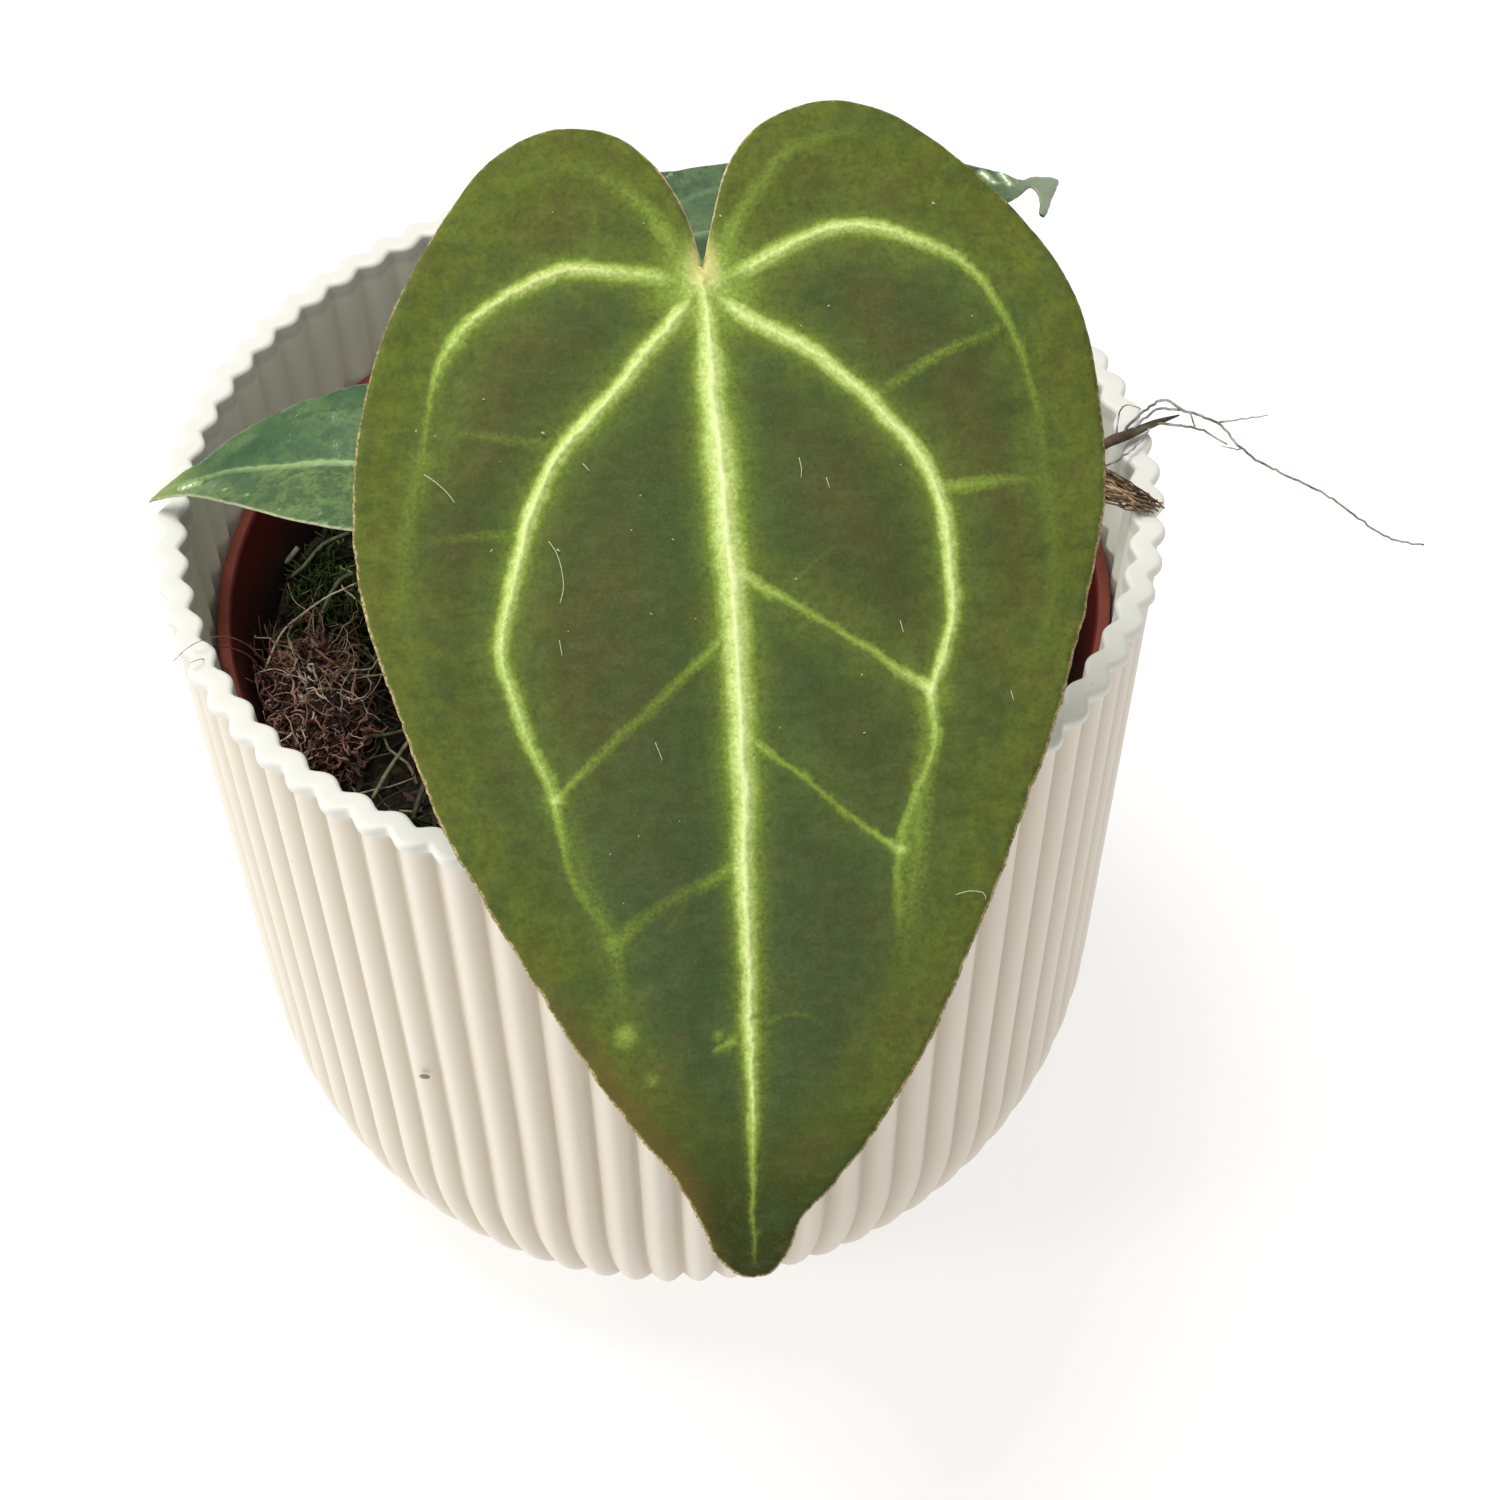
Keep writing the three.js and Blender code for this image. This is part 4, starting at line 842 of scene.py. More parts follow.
def on_leaf(leaf, u, v, lift):
    """Where flat points of a blade lie in space, lifted off its middle surface."""
    u, v = np.atleast_1d(np.asarray(u, float)), np.atleast_1d(np.asarray(v, float))
    heading = math.radians(leaf["heading"])
    forward = np.array([math.cos(heading), math.sin(heading), 0])
    across = np.array([-forward[1], forward[0], 0])
    steps = 24
    place = np.tile(np.array(leaf["notch"], float), (len(v), 1))
    for i in range(steps):
        angle = np.radians(leaf["droop"](np.maximum(0, v * (i + 0.5) / steps) / leaf["length"]))
        place += np.outer(v / steps * np.cos(angle), forward)
        place[:, 2] -= v / steps * np.sin(angle)
    slope = np.radians(leaf["droop"](np.maximum(0, v) / leaf["length"]))
    normal = np.outer(np.sin(slope), forward)
    normal[:, 2] += np.cos(slope)
    outward = np.minimum(1, np.abs(u) / 40) ** 2
    wave = leaf["wave"] * outward * np.sin(2 * math.pi * v / leaf["wave_length"] + np.where(u > 0, 0, 2))
    rise = lift + wave - leaf["dome"] * u**2 - leaf["fold"] * np.abs(u)
    return place + np.outer(u, across) + normal * rise[:, None]


stalks = []
for leaf, v, radius, path in (
    (FRONT_LEAF, 3, 1.5, [(0.5, -1, 97), (1, -3, 122), (2.6, -11, 158), (5, -25.2, 188)]),
    (LEFT_LEAF, 2.5, 1.2, [(-2, 0, 97), (-5, -1, 115), (-9.5, -4, 133)]),
    (BACK_LEAF, 2.5, 1.2, [(0, 2, 97), (-1.5, 9, 116), (-4.4, 20, 138)]),
):
    line = smooth_path([*path, on_leaf(leaf, 0, v, -0.3)[0]], 2.0)
    share = np.linspace(0, 1, len(line))
    joint = np.exp(-((share - 0.93) / 0.05) ** 2)
    stalks.append((line, radius * (1 + 0.9 * np.exp(-14 * share) + 0.42 * joint), 0.5))
petioles = strands("petioles", stalks, 20)
stalk_lines = (1500, 4, 0.6, (1, 1, 0.08))
petioles.data.materials.append(speckled_finish(
    "stalk_green", 0.5, "share",
    [(0.0, (150, 112, 78)), (0.12, (112, 128, 62)), (0.8, (112, 136, 62)), (0.95, (142, 126, 74))],
    stalk_lines, (0.5, 0.7, 0.5), (82, 92, 44), stalk_lines, 0.4, 0.1,
))
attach(petioles, "root")
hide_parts("crown_with_petioles")

crown_rings = [ring_of(CROWN_RADIUS * 0.7, CROWN_FOOT, 48)]
for z in np.linspace(CROWN_FOOT + 1, CROWN_TOP, 40):
    share = (z - CROWN_FOOT) / (CROWN_TOP - CROWN_FOOT)
    scar = 0.35 * math.sin(z * 2.1) ** 8
    round_top = math.sqrt(max(0.03, 1 - max(0, (share - 0.72) / 0.29) ** 2))
    crown_rings.append(ring_of((CROWN_RADIUS - 0.4 + scar) * min(1, 0.72 + share) * round_top, z, 48, 0.3))
crown = turned_body("crown_stem", crown_rings)
corky = new_finish("corky_stem", 0.85)
cork = grain(corky, 420, 6, 0.65, (1, 1, 2.5))
cork_shade = ramp(cork, (0.3, (66, 52, 36)), (0.5, (98, 94, 52)), (0.7, (140, 122, 88)))
set_surface(corky, Base_Color=cork_shade)
relief(corky, cork, 0.9, 0.6)
crown.data.materials.append(corky)
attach(crown, "root")

sheath_points = []
sheath_faces = []
SHEATH_ARC = 9
for turn, tall in SHEATHS:
    middle = math.radians(turn)
    start = len(sheath_points)
    rows = 14
    for row in range(rows + 1):
        share = row / rows
        z = MIX_LEVEL - 1 + (tall + 1) * share
        reach = 4.6 + 0.8 * share + 2.6 * share**3
        half = math.radians(46) * math.sqrt(max(0.004, 1 - share)) * (1 - 0.35 * share)
        for away, order in ((0.0, 1), (-0.4, -1)):
            for k in range(SHEATH_ARC)[::order]:
                swing = half * (2 * k / (SHEATH_ARC - 1) - 1)
                curl = 0.5 * math.sin(9 * share + turn) * share * (swing / half) ** 2
                out = (reach + away + curl) * np.array([math.cos(middle + swing), math.sin(middle + swing)])
                sheath_points.append((out[0], out[1], z + 0.5 * math.sin(3 * swing)))
    sheath_faces.extend(faces_between(rows + 1, 2 * SHEATH_ARC, start))
    sheath_faces.append(list(range(start + 2 * SHEATH_ARC - 1, start - 1, -1)))
    top = start + rows * 2 * SHEATH_ARC
    sheath_faces.append(list(range(top, top + 2 * SHEATH_ARC)))
sheaths = piece_from("papery_sheaths", sheath_points, sheath_faces)
papery = new_finish("papery_sheath", 0.7)
sheath_lines = grain(papery, 1300, 5, 0.6, (1, 1, 0.1))
sheath_shade = ramp(sheath_lines, (0.3, (108, 74, 44)), (0.55, (152, 116, 74)), (0.75, (182, 156, 112)))
set_surface(papery, Base_Color=sheath_shade)
relief(papery, sheath_lines, 0.7, 0.25)
sheaths.data.materials.append(papery)
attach(sheaths, "root")


# Front leaf
# One large heart-shaped blade, velvety and olive green, with raised pale lime ribs, quilted between them,
# and a thin tan margin. It grew in one and hangs from its petiole over the pot's lip.

def along_line(points, line):
    """Each flat point's distance from a line, and how far along the line it is nearest, as a share."""
    length = np.r_[0, np.cumsum(np.linalg.norm(np.diff(line, axis=0), axis=1))]
    best = np.full(len(points), 1e6)
    share = np.zeros(len(points))
    for k in range(len(line) - 1):
        side = line[k + 1] - line[k]
        part = np.clip((points - line[k]) @ side / (side @ side), 0, 1)
        away = np.linalg.norm(points - line[k] - part[:, None] * side, axis=1)
        closer = away < best
        best[closer] = away[closer]
        share[closer] = (length[k] + part[closer] * np.linalg.norm(side)) / length[-1]
    return best, share


def vein_marks(corners, leaf):
    """For each flat point: how pale its vein makes it, how far it is raised, and the way to a main vein."""
    wander = [noise.noise_vector(Vector((u / 0.9, v / 0.9, 3))) * 0.24 for u, v in corners]
    sway = [noise.noise_vector(Vector((u / 5.0, v / 5.0, 9))) * 0.4 for u, v in corners]
    points = corners + np.array([tuple(w + s)[:2] for w, s in zip(wander, sway)])
    from_hub = np.hypot(corners[:, 0], corners[:, 1] - 1)
    pale = np.zeros(len(points))
    raised = np.zeros(len(points))
    from_main = np.full(len(points), 60.0)
    for order, (widths, glows, path) in enumerate(leaf["veins"]):
        away, share = along_line(points, smooth_path(path, 1.5))
        width = np.interp(share, np.linspace(0, 1, len(widths)), widths)
        glow = np.interp(share, np.linspace(0, 1, len(glows)), glows)
        if order:
            glow = glow * np.clip(from_hub / 5, 0.4, 1)
        band, core = (0.5, 0.22) if order else (0.4, 0.32)
        shape = band * np.exp(-((away / (0.66 * width)) ** 5))
        shape = shape + core * np.exp(-((away / (0.09 * width + 0.05)) ** 2))
        shape = glow * shape + 0.28 * glow**1.2 * np.exp(-((away / (0.8 * width + 0.7)) ** 1.6))
        pale = np.maximum(pale, shape) + 0.2 * np.minimum(pale, shape)
        raised = np.maximum(raised, 0.6 * glow * np.exp(-((away / (0.42 * width)) ** 2)))
        if max(glows) > 0.4:
            from_main = np.minimum(from_main, away)
    for u, v, size, glow in leaf["spots"]:
        away = np.hypot(points[:, 0] - u, points[:, 1] - v)
        pale = np.maximum(pale, glow * np.exp(-((away / size) ** 2)))
    return np.minimum(pale, 1.4), raised, from_main


def inside_outline(points, outline):
    inside = np.zeros(len(points), bool)
    before = np.roll(outline, 1, axis=0)
    for (ax, ay), (bx, by) in zip(outline, before):
        crosses = (ay > points[:, 1]) != (by > points[:, 1])
        if ay != by:
            inside ^= crosses & (points[:, 0] < ax + (points[:, 1] - ay) / (by - ay) * (bx - ax))
    return inside


def leaf_outline(leaf, seed):
    """The blade's edge as a closed line, notched a little all the way round, and least towards the hub."""
    right = smooth_path(leaf["right"], 0.45)
    left = smooth_path(leaf["left"], 0.45)
    outline = np.vstack([right, left[-2:0:-1]])
    way = np.roll(outline, -1, axis=0) - np.roll(outline, 1, axis=0)
    way /= np.linalg.norm(way, axis=1)[:, None]
    tooth = np.array([noise.fractal(Vector((0.16 * k, seed, 0)), 0.45, 2.3, 4) for k in range(len(outline))])
    calm = np.clip(outline[:, 1] / 45, 0.25, 1)
    return outline + np.column_stack([way[:, 1], -way[:, 0]]) * (leaf["ripple"] * tooth * calm)[:, None]


def leaf_net(leaf, outline):
    """Flat points inside the edge: close rows along each vein and an even net between them."""
    along = []
    for widths, _, path in leaf["veins"]:
        line = smooth_path(path, 0.45)
        side = np.gradient(line, axis=0)
        side = np.column_stack([-side[:, 1], side[:, 0]]) / np.linalg.norm(side, axis=1)[:, None]
        width = np.interp(np.linspace(0, 1, len(line)), np.linspace(0, 1, len(widths)), widths)
        for offset in (0, 0.15, -0.15, 0.32, -0.32, 0.5, -0.5, 0.7, -0.7, 0.95, -0.95):
            along.append(line + side * (width * offset)[:, None])
    along = np.vstack(along)
    along = along[np.sort(np.unique(np.round(along / 0.26), axis=0, return_index=True)[1])]
    spacing = leaf["spacing"]
    rows = np.arange(outline[:, 1].min(), outline[:, 1].max(), spacing * 0.866)
    columns = np.arange(outline[:, 0].min(), outline[:, 0].max(), spacing)
    net = np.array([(u + spacing / 2 * (k % 2), v) for k, v in enumerate(rows) for u in columns])
    taken = {tuple(cell) for cell in np.floor(along / spacing).astype(int)}
    free = [tuple(cell) not in taken for cell in np.floor(net / spacing).astype(int)]
    every = np.vstack([along, net[free]])
    edge = along_line(every, np.vstack([outline, outline[:1]]))[0]
    return every[inside_outline(every, outline) & (edge > 0.28)]


def leaf_piece(name, leaf, seed):
    """A blade of fine triangles: an upper face and a lower one that meet in a thin rounded edge."""
    outline = leaf_outline(leaf, seed)
    every = np.vstack([outline, leaf_net(leaf, outline)])
    edge_order = [list(range(len(outline)))]
    made = delaunay_2d_cdt([Vector(p) for p in every], [], edge_order, 1, 1e-7, False)
    corners = np.array([tuple(p) for p in made[0]])
    triangles = np.array(made[2])
    triangles = triangles[inside_outline(corners[triangles].mean(axis=1), outline)]
    margin = along_line(corners, np.vstack([outline, outline[:1]]))[0]
    on_edge = margin < 1e-4
    pale, raised, from_main = vein_marks(corners, leaf)
    curl = np.array([noise.fractal(Vector((u / 9, v / 9, seed)), 0.6, 2.0, 3) for u, v in corners])
    swell = leaf["pillow"] * (1 - np.exp(-((from_main / 6) ** 2)))
    swell = swell + 0.3 * curl * np.exp(-margin / 6) + 0.08 * curl
    half = leaf["thickness"] / 2 * (0.12 + 0.88 * np.sqrt(1 - (1 - np.clip(margin / 0.5, 0, 1)) ** 2))
    half[on_edge] = 0
    raised *= np.clip(margin / 1.5, 0, 1)
    top = on_leaf(leaf, corners[:, 0], corners[:, 1], swell + half + raised)
    below = on_leaf(leaf, corners[:, 0], corners[:, 1], swell - half - 0.7 * raised)
    a, b, c = top[triangles[0]]
    if np.cross(b - a, c - a)[2] < 0:
        triangles = triangles[:, ::-1]
    lower = ~on_edge
    mirrored = np.where(on_edge, np.arange(len(corners)), len(corners) + np.cumsum(lower) - 1)
    faces = np.vstack([triangles, mirrored[triangles][:, ::-1]])
    piece = piece_from(name, np.vstack([top, below[lower]]), faces.tolist())
    for key, values in (
        ("pale", pale), ("to_rib", from_main), ("margin", margin),
        ("across", corners[:, 0]), ("along", corners[:, 1]),
    ):
        carry(piece, key, np.concatenate([values, values[lower]]))
    carry(piece, "under", np.concatenate([on_edge * 0.5, np.ones(lower.sum())]))
    return piece


noise.seed_set(5)
front_leaf = leaf_piece("front_leaf_blade", FRONT_LEAF, 1.3)

velvet = new_finish(
    "velvety_leaf", 0.85, Sheen_Weight=0.04, Sheen_Roughness=0.4, Sheen_Tint=colour(150, 170, 90),
    Specular_IOR_Level=0.16,
)
nap = grain(velvet, 2600, 3, 0.65)
patches = grain(velvet, 45, 4, 0.6)
mottle = grain(velvet, 520, 5, 0.65)
blotch = grain(velvet, 170, 4, 0.6)
from_margin = measured(velvet, "margin")
across = measured(velvet, "across")
from_middle = sums("ABSOLUTE", across)
down_leaf = measured(velvet, "along")
fuzz = grain(velvet, 1500, 4, 0.7)
wrinkles = grain(velvet, 700, 4, 0.6, (0.3, 1, 1))
ragged = sums("MULTIPLY", sums("SUBTRACT", sums("ADD", nap, fuzz), 1.0), 1.7)
to_rib = measured(velvet, "to_rib")
pale = measured(velvet, "pale")
halfway = sums("MULTIPLY", pale, sums("SUBTRACT", 1.1, pale))
uneven = sums("ADD", pale, sums("MULTIPLY", ragged, halfway))
ground = blend(between(patches, 0.38, 0.62), (73, 82, 43), (85, 89, 43))
for mask, low, high, most, shade in (
    (from_middle, 19, 3, 0.8, (66, 87, 46)), (to_rib, 6.5, 1.5, 0.75, (96, 112, 50)),
    (to_rib, 5, 10, 0.5, (86, 86, 50)), (down_leaf, 40, 78, 0.6, (68, 86, 54)),
    (down_leaf, 6, -14, 0.7, (96, 106, 44)), (from_margin, 13, 3, 0.85, (98, 110, 37)),
    (down_leaf, 92, 116, 0.95, (44, 51, 17)), (blotch, 0.5, 0.68, 0.5, (62, 87, 47)),
    (blotch, 0.46, 0.3, 0.5, (92, 90, 46)), (mottle, 0.35, 0.65, 0.38, (60, 65, 31)),
    (fuzz, 0.54, 0.34, 0.4, (60, 68, 33)), (wrinkles, 0.5, 0.66, 0.2, (58, 66, 33)),
    (wrinkles, 0.46, 0.3, 0.15, (104, 112, 60)), (nap, 0.52, 0.72, 0.18, (118, 126, 72)),
):
    ground = layer(ground, mask, low, high, most, shade)
vein_shade = ramp(
    uneven,
    (0.0, (90, 104, 46)), (0.14, (104, 122, 48)), (0.32, (131, 152, 64)), (0.5, (160, 181, 94)),
    (0.7, (196, 213, 130)), (0.86, (215, 228, 156)), (1.0, (232, 240, 192)),
)
veined = blend(between(uneven, 0.0, 0.18), ground, vein_shade)
on_left_lobe = sums("MULTIPLY", between(down_leaf, 7, 2), between(across, -6, -16))
creamy = sums("MULTIPLY", on_left_lobe, between(uneven, 0.4, 0.8, 0.0, 0.5))
veined = blend(creamy, veined, (214, 208, 150))
at_left_edge = sums("MULTIPLY", between(across, -2, -8), between(from_margin, 4.5, 0.5))
russet = sums("MULTIPLY", at_left_edge, between(down_leaf, 72, 96, 0.0, 0.6))
veined = blend(russet, veined, (104, 82, 42))
edge_wander = sums("ADD", from_margin, sums("MULTIPLY", sums("SUBTRACT", mottle, 0.5), 0.7))
tan_edge = blend(between(nap, 0.42, 0.62), (140, 120, 78), (202, 184, 134))
edge_wander = sums("ADD", edge_wander, between(down_leaf, 40, 5, 0.0, 0.2))
in_notch = sums("MULTIPLY", between(down_leaf, 4, -2), between(from_middle, 9, 5))
rosy = blend(in_notch, tan_edge, (232, 206, 166))
near_hub = sums("MULTIPLY", between(down_leaf, 3.5, 0.5), between(down_leaf, -5, -1))
near_hub = sums("MULTIPLY", near_hub, between(from_middle, 2.4, 0.6, 0.0, 0.5))
veined = blend(near_hub, veined, (206, 186, 128))
edged = blend(between(edge_wander, 0.46, 0.1), veined, rosy)
backed = blend(between(uneven, 0.1, 0.6), (124, 142, 82), (172, 186, 120))
set_surface(velvet, Base_Color=blend(between(measured(velvet, "under"), 0.55, 0.95), edged, backed))
relief(velvet, sums("ADD", sums("ADD", nap, mottle), wrinkles), 0.45, 0.14)
front_leaf.data.materials.append(velvet)
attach(front_leaf, "root")
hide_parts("front_leaf")


# Lint
# A few white fibres and specks of dust cling to the velvet of the front leaf.

LINT_RADIUS = 0.045
LINT_CURLS = [
    [(-19.2, 30.1), (-18.4, 31.4), (-17.9, 33.4), (-17.8, 35.5), (-18.3, 37.2)],
    [(-32.9, 21.8), (-31.7, 22.7), (-30.5, 23.9), (-29.6, 25.2)],
    [(-14.8, 21.5), (-14.1, 22.4)], [(9.8, 22.1), (10.0, 23.3), (9.9, 24.4)], [(12.8, 24.5), (13.1, 25.7)],
    [(25.7, 73.7), (27.2, 73.4), (28.9, 73.7), (29.2, 74.5)], [(-18.6, 41.4), (-18.4, 43.2)],
    [(-8.3, 53.7), (-7.6, 55.8)], [(20.5, 41.2), (20.8, 42.6)], [(33.0, 50.1), (33.3, 51.3)],
]
FLECK_PATCHES = [
    (-18.5, 85.2, 9), (-15, 93.5, 14), (-12.6, 97.4, 12), (5.4, 110, 8), (3.7, 113.4, 4), (-8.3, 103, 4),
]
lint_draw = random.Random(12)
lint_lines = []
for curl in LINT_CURLS:
    path = smooth_path(curl, 0.5)
    lint_lines.append((on_leaf(FRONT_LEAF, path[:, 0], path[:, 1], 1.0), LINT_RADIUS, 0.8))
specks = [(lint_draw.uniform(-34, 38), lint_draw.uniform(-8, 84)) for _ in range(60)]
for u, v, count in FLECK_PATCHES:
    specks += [(u + lint_draw.gauss(0, 0.9), v + lint_draw.gauss(0, 1.3)) for _ in range(count)]
for u, v in specks:
    if abs(u) > 40 - 0.35 * v:
        continue
    turn = lint_draw.uniform(0, 2 * math.pi)
    long = lint_draw.uniform(0.1, 0.4)
    us = np.array([u, u + long * math.cos(turn)])
    vs = np.array([v, v + long * math.sin(turn)])
    fleck = on_leaf(FRONT_LEAF, us, vs, 0.86)
    lint_lines.append((fleck, lint_draw.uniform(0.05, 0.1), 0.7 * lint_draw.random()))
lint = strands("leaf_lint", lint_lines, 4)
lint_white = new_finish("lint_white", 0.7)
lint_shade = ramp(measured(lint_white, "shade"), (0.0, (140, 150, 92)), (1.0, (206, 212, 186)))
set_surface(lint_white, Base_Color=lint_shade)
relief(lint_white, grain(lint_white, 3000, 2), 0.2, 0.05)
lint.data.materials.append(lint_white)
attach(lint, "root")


# Small leaves
# Two younger blades grow lower down, smooth and half glossy: one droops over the lip at the left, the
# other lies behind the front leaf and ends in a narrow hooked tip.

left_leaf = leaf_piece("left_leaf_blade", LEFT_LEAF, 4.1)
back_leaf = leaf_piece("back_leaf_blade", BACK_LEAF, 7.7)


def small_leaf_finish(name, shadowy, deep, light, rib_shade, edge_shade, tip_shade, tip_from, glint_share):
    finish = new_finish(name, 0.42, Coat_Weight=0.12, Coat_Roughness=0.35)
    clouds = grain(finish, 120, 5, 0.6)
    pores = grain(finish, 1500, 4, 0.6)
    tone = between(clouds, 0.35, 0.65, -0.3, 0.3)
    # One half of each blade is painted lighter than the other: painted light on one half and painted shade on
    # the other, as if turned towards and away from the light.
    half = between(measured(finish, "across"), -2, 2, 0.2, 0.8)
    ground = blend(sums("ADD", tone, half), deep, light)
    ground = layer(ground, pores, 0.42, 0.66, 0.6, deep)
    mottled = grain(finish, 400, 5, 0.7)
    ground = layer(ground, mottled, 0.46, 0.57, 0.55, shadowy)
    # Small pale streaks are painted glints of the half-glossy surface, not marks on the leaf.
    painted_glints = grain(finish, 210, 6, 0.75, (1.6, 1, 1))
    ground = layer(ground, painted_glints, 0.6, 0.68, glint_share, (178, 192, 164))
    ground = layer(ground, measured(finish, "along"), tip_from, tip_from + 10, 0.8, tip_shade)
    ribbed = layer(ground, measured(finish, "pale"), 0.05, 0.75, 0.95, rib_shade)
    near_side = between(measured(finish, "across"), -2, 2, 0.25, 0.9)
    rim = sums("MULTIPLY", between(measured(finish, "margin"), 0.45, 0.1), near_side)
    edged = blend(rim, ribbed, edge_shade)
    # Where a spot's paleness passes 0.85 the blade is painted near white: painted highlights, the glints on
    # the left leaf's tip and the back leaf's hook.
    edged = blend(between(measured(finish, "pale"), 0.85, 1.05), edged, (232, 236, 220))
    backed = blend(between(clouds, 0.4, 0.6), (134, 160, 112), (120, 148, 98))
    under = between(measured(finish, "under"), 0.55, 0.95)
    set_surface(finish, Base_Color=blend(under, edged, backed))
    set_surface(finish, Roughness=between(clouds, 0.3, 0.7, 0.36, 0.5))
    relief(finish, sums("ADD", clouds, pores), 0.45, 0.2)
    return finish


left_leaf.data.materials.append(small_leaf_finish(
    "left_leaf_green", (40, 70, 42), (52, 88, 50), (104, 126, 70), (140, 168, 108),
    (176, 176, 136), (126, 146, 74), 47, 0.4,
))
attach(left_leaf, "root")
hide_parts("left_leaf")

# The back leaf's pale grey tip is painted glare on its waxy hook.
back_leaf.data.materials.append(small_leaf_finish(
    "back_leaf_green", (42, 68, 44), (54, 84, 50), (80, 106, 64), (146, 174, 130),
    (150, 162, 128), (142, 156, 130), 54, 0.55,
))
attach(back_leaf, "root")
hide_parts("back_leaf")


# Root clump
# A tuft of fine aerial roots has matted into a low cushion against the nursery pot's wall: a dark lump
# inside, and dry red-brown fibres curled all over it, pink in the middle. One long pale root arches from
# it over the mix, and a few hairs lean out to the lip.

CLUMP_FIBRES = [
    (500, (2.0, 6.0), (0.1, 0.28), 0.6, (0.0, 1.0)),
    (120, (7.0, 15.0), (0.08, 0.17), 0.42, (0.45, 1.2)),
    (120, (2.4, 4.6), (0.22, 0.42), 0.3, (0.2, 0.95)),
]
CLUMP_CORE = 0.78


def in_clump(outward, along, up):
    """A place given from the clump's middle, outward from the pot's axis, along and up."""
    return np.array([
        (CLUMP_RADIUS + outward) * math.cos(CLUMP_ANGLE) - along * math.sin(CLUMP_ANGLE),
        (CLUMP_RADIUS + outward) * math.sin(CLUMP_ANGLE) + along * math.cos(CLUMP_ANGLE),
        MIX_LEVEL + 0.6 + up,
    ])


def kept_in_pot(line, spare):
    """The same line held back from the nursery pot's wall."""
    limit = nursery_inside(np.minimum(line[:, 2], NURSERY_TOP - NURSERY_BAND)) - spare
    away = np.hypot(line[:, 0], line[:, 1])
    line[:, :2] *= np.minimum(1, limit / np.maximum(away, 1e-6))[:, None]
    return line


clump_draw = random.Random(17)
clump_rings = []
for row in range(24):
    up = math.sin(row / 23 * math.pi / 2)
    wide = math.sqrt(max(0.002, 1 - up**2))
    ring = []
    for k in range(60):
        turn = k * 2 * math.pi / 60
        rough = 1 + 0.09 * noise.noise(Vector((3 * math.cos(turn), 3 * math.sin(turn), 4 * up)))
        ring.append(in_clump(
            CLUMP_CORE * CLUMP_HALF_WIDTH * wide * math.cos(turn) * rough,
            CLUMP_CORE * CLUMP_HALF_LENGTH * wide * math.sin(turn) * rough,
            CLUMP_CORE * CLUMP_HEIGHT * up * rough,
        ))
    clump_rings.append(kept_in_pot(np.array(ring), 0.6))
clump_core = turned_body("root_clump_core", clump_rings)
fibre_lines = []
for count, length, thickness, bend, tones in CLUMP_FIBRES:
    for _ in range(count):
        way = clump_draw.uniform(0, 2 * math.pi)
        rise = math.asin(clump_draw.random() ** 0.8)
        base = clump_draw.uniform(0.7, 1.0)
        out = np.array([math.cos(rise) * math.cos(way), math.cos(rise) * math.sin(way), math.sin(rise)])
        half_sizes = base * np.array([CLUMP_HALF_WIDTH, CLUMP_HALF_LENGTH, 0.9 * CLUMP_HEIGHT])
        seat = in_clump(*(half_sizes * out))
        outward = in_clump(*(out * 5)) - in_clump(0, 0, 0)
        lay = np.array([clump_draw.gauss(0, 1), clump_draw.gauss(0, 1), clump_draw.gauss(0, 0.6)])
        line = wandering(clump_draw, seat, 0.12 * outward + lay, clump_draw.uniform(*length), bend, 9)
        line = kept_in_pot(line, 0.5)
        line[:, 2] = np.minimum(line[:, 2], MIX_LEVEL + CLUMP_HEIGHT + 1.6)
        # Fibres high on the clump are painted lighter and those low on its sides darker: painted light and
        # painted shade.
        tone = min(1, max(0, clump_draw.uniform(*tones) * (0.55 + 0.5 * out[2])))
        radius = clump_draw.uniform(*thickness) * np.linspace(1, 0.3, len(line))
        fibre_lines.append((line, radius, tone))
long_fibres = [
    (0.19, 0.97, [
        (-57.3, -5.5, 104), (-55.7, -2.5, 106), (-54.1, -0.2, 107), (-51.7, 2.4, 107), (-49, 5.5, 106.5),
        (-46.3, 7.7, 106), (-42.3, 10.3, 105), (-34, 11, 103), (-22, 8, 101.5), (-8, 3, 100),
    ]),
    (0.11, 0.62, [
        (-57.1, -5.5, 103.5), (-57.3, -6.9, 108), (-58.6, -8.7, 113), (-59.4, -17.4, 124),
        (-60.6, -24.6, 131.5), (-62.9, -25.8, 131.4), (-65, -27.5, 130.6),
    ]),
    (0.1, 0.56, [(-57.1, -7, 104.5), (-58.4, -8.4, 110), (-60.3, -10.3, 114), (-60.8, -21.5, 127)]),
    (0.1, 0.6, [
        (-58, -9, 105), (-60.9, -11, 110), (-60.7, -22.1, 124), (-61.3, -27.7, 131), (-62.6, -28.5, 131.2),
    ]),
]
for radius, tone, path in long_fibres:
    line = smooth_path(path, 1.2)
    fibre_lines.append((line, radius * np.linspace(1, 0.6, len(line)), tone))
clump_fibres = strands("root_clump_fibres", fibre_lines, 4)
rusty_shades = [
    (0.0, (32, 18, 13)), (0.3, (88, 54, 41)), (0.55, (148, 101, 82)), (0.8, (198, 156, 136)),
    (1.0, (228, 214, 188)),
]
clump_fibres.data.materials.append(speckled_finish(
    "rusty_roots", 0.85, "shade", rusty_shades,
    (420, 5), (0.46, 0.6, 0.65), (44, 28, 23), (2600, 3), 0.5, 0.1,
))
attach(clump_fibres, "root")
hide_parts("root_clump")
matted = new_finish("matted_roots", 0.95)
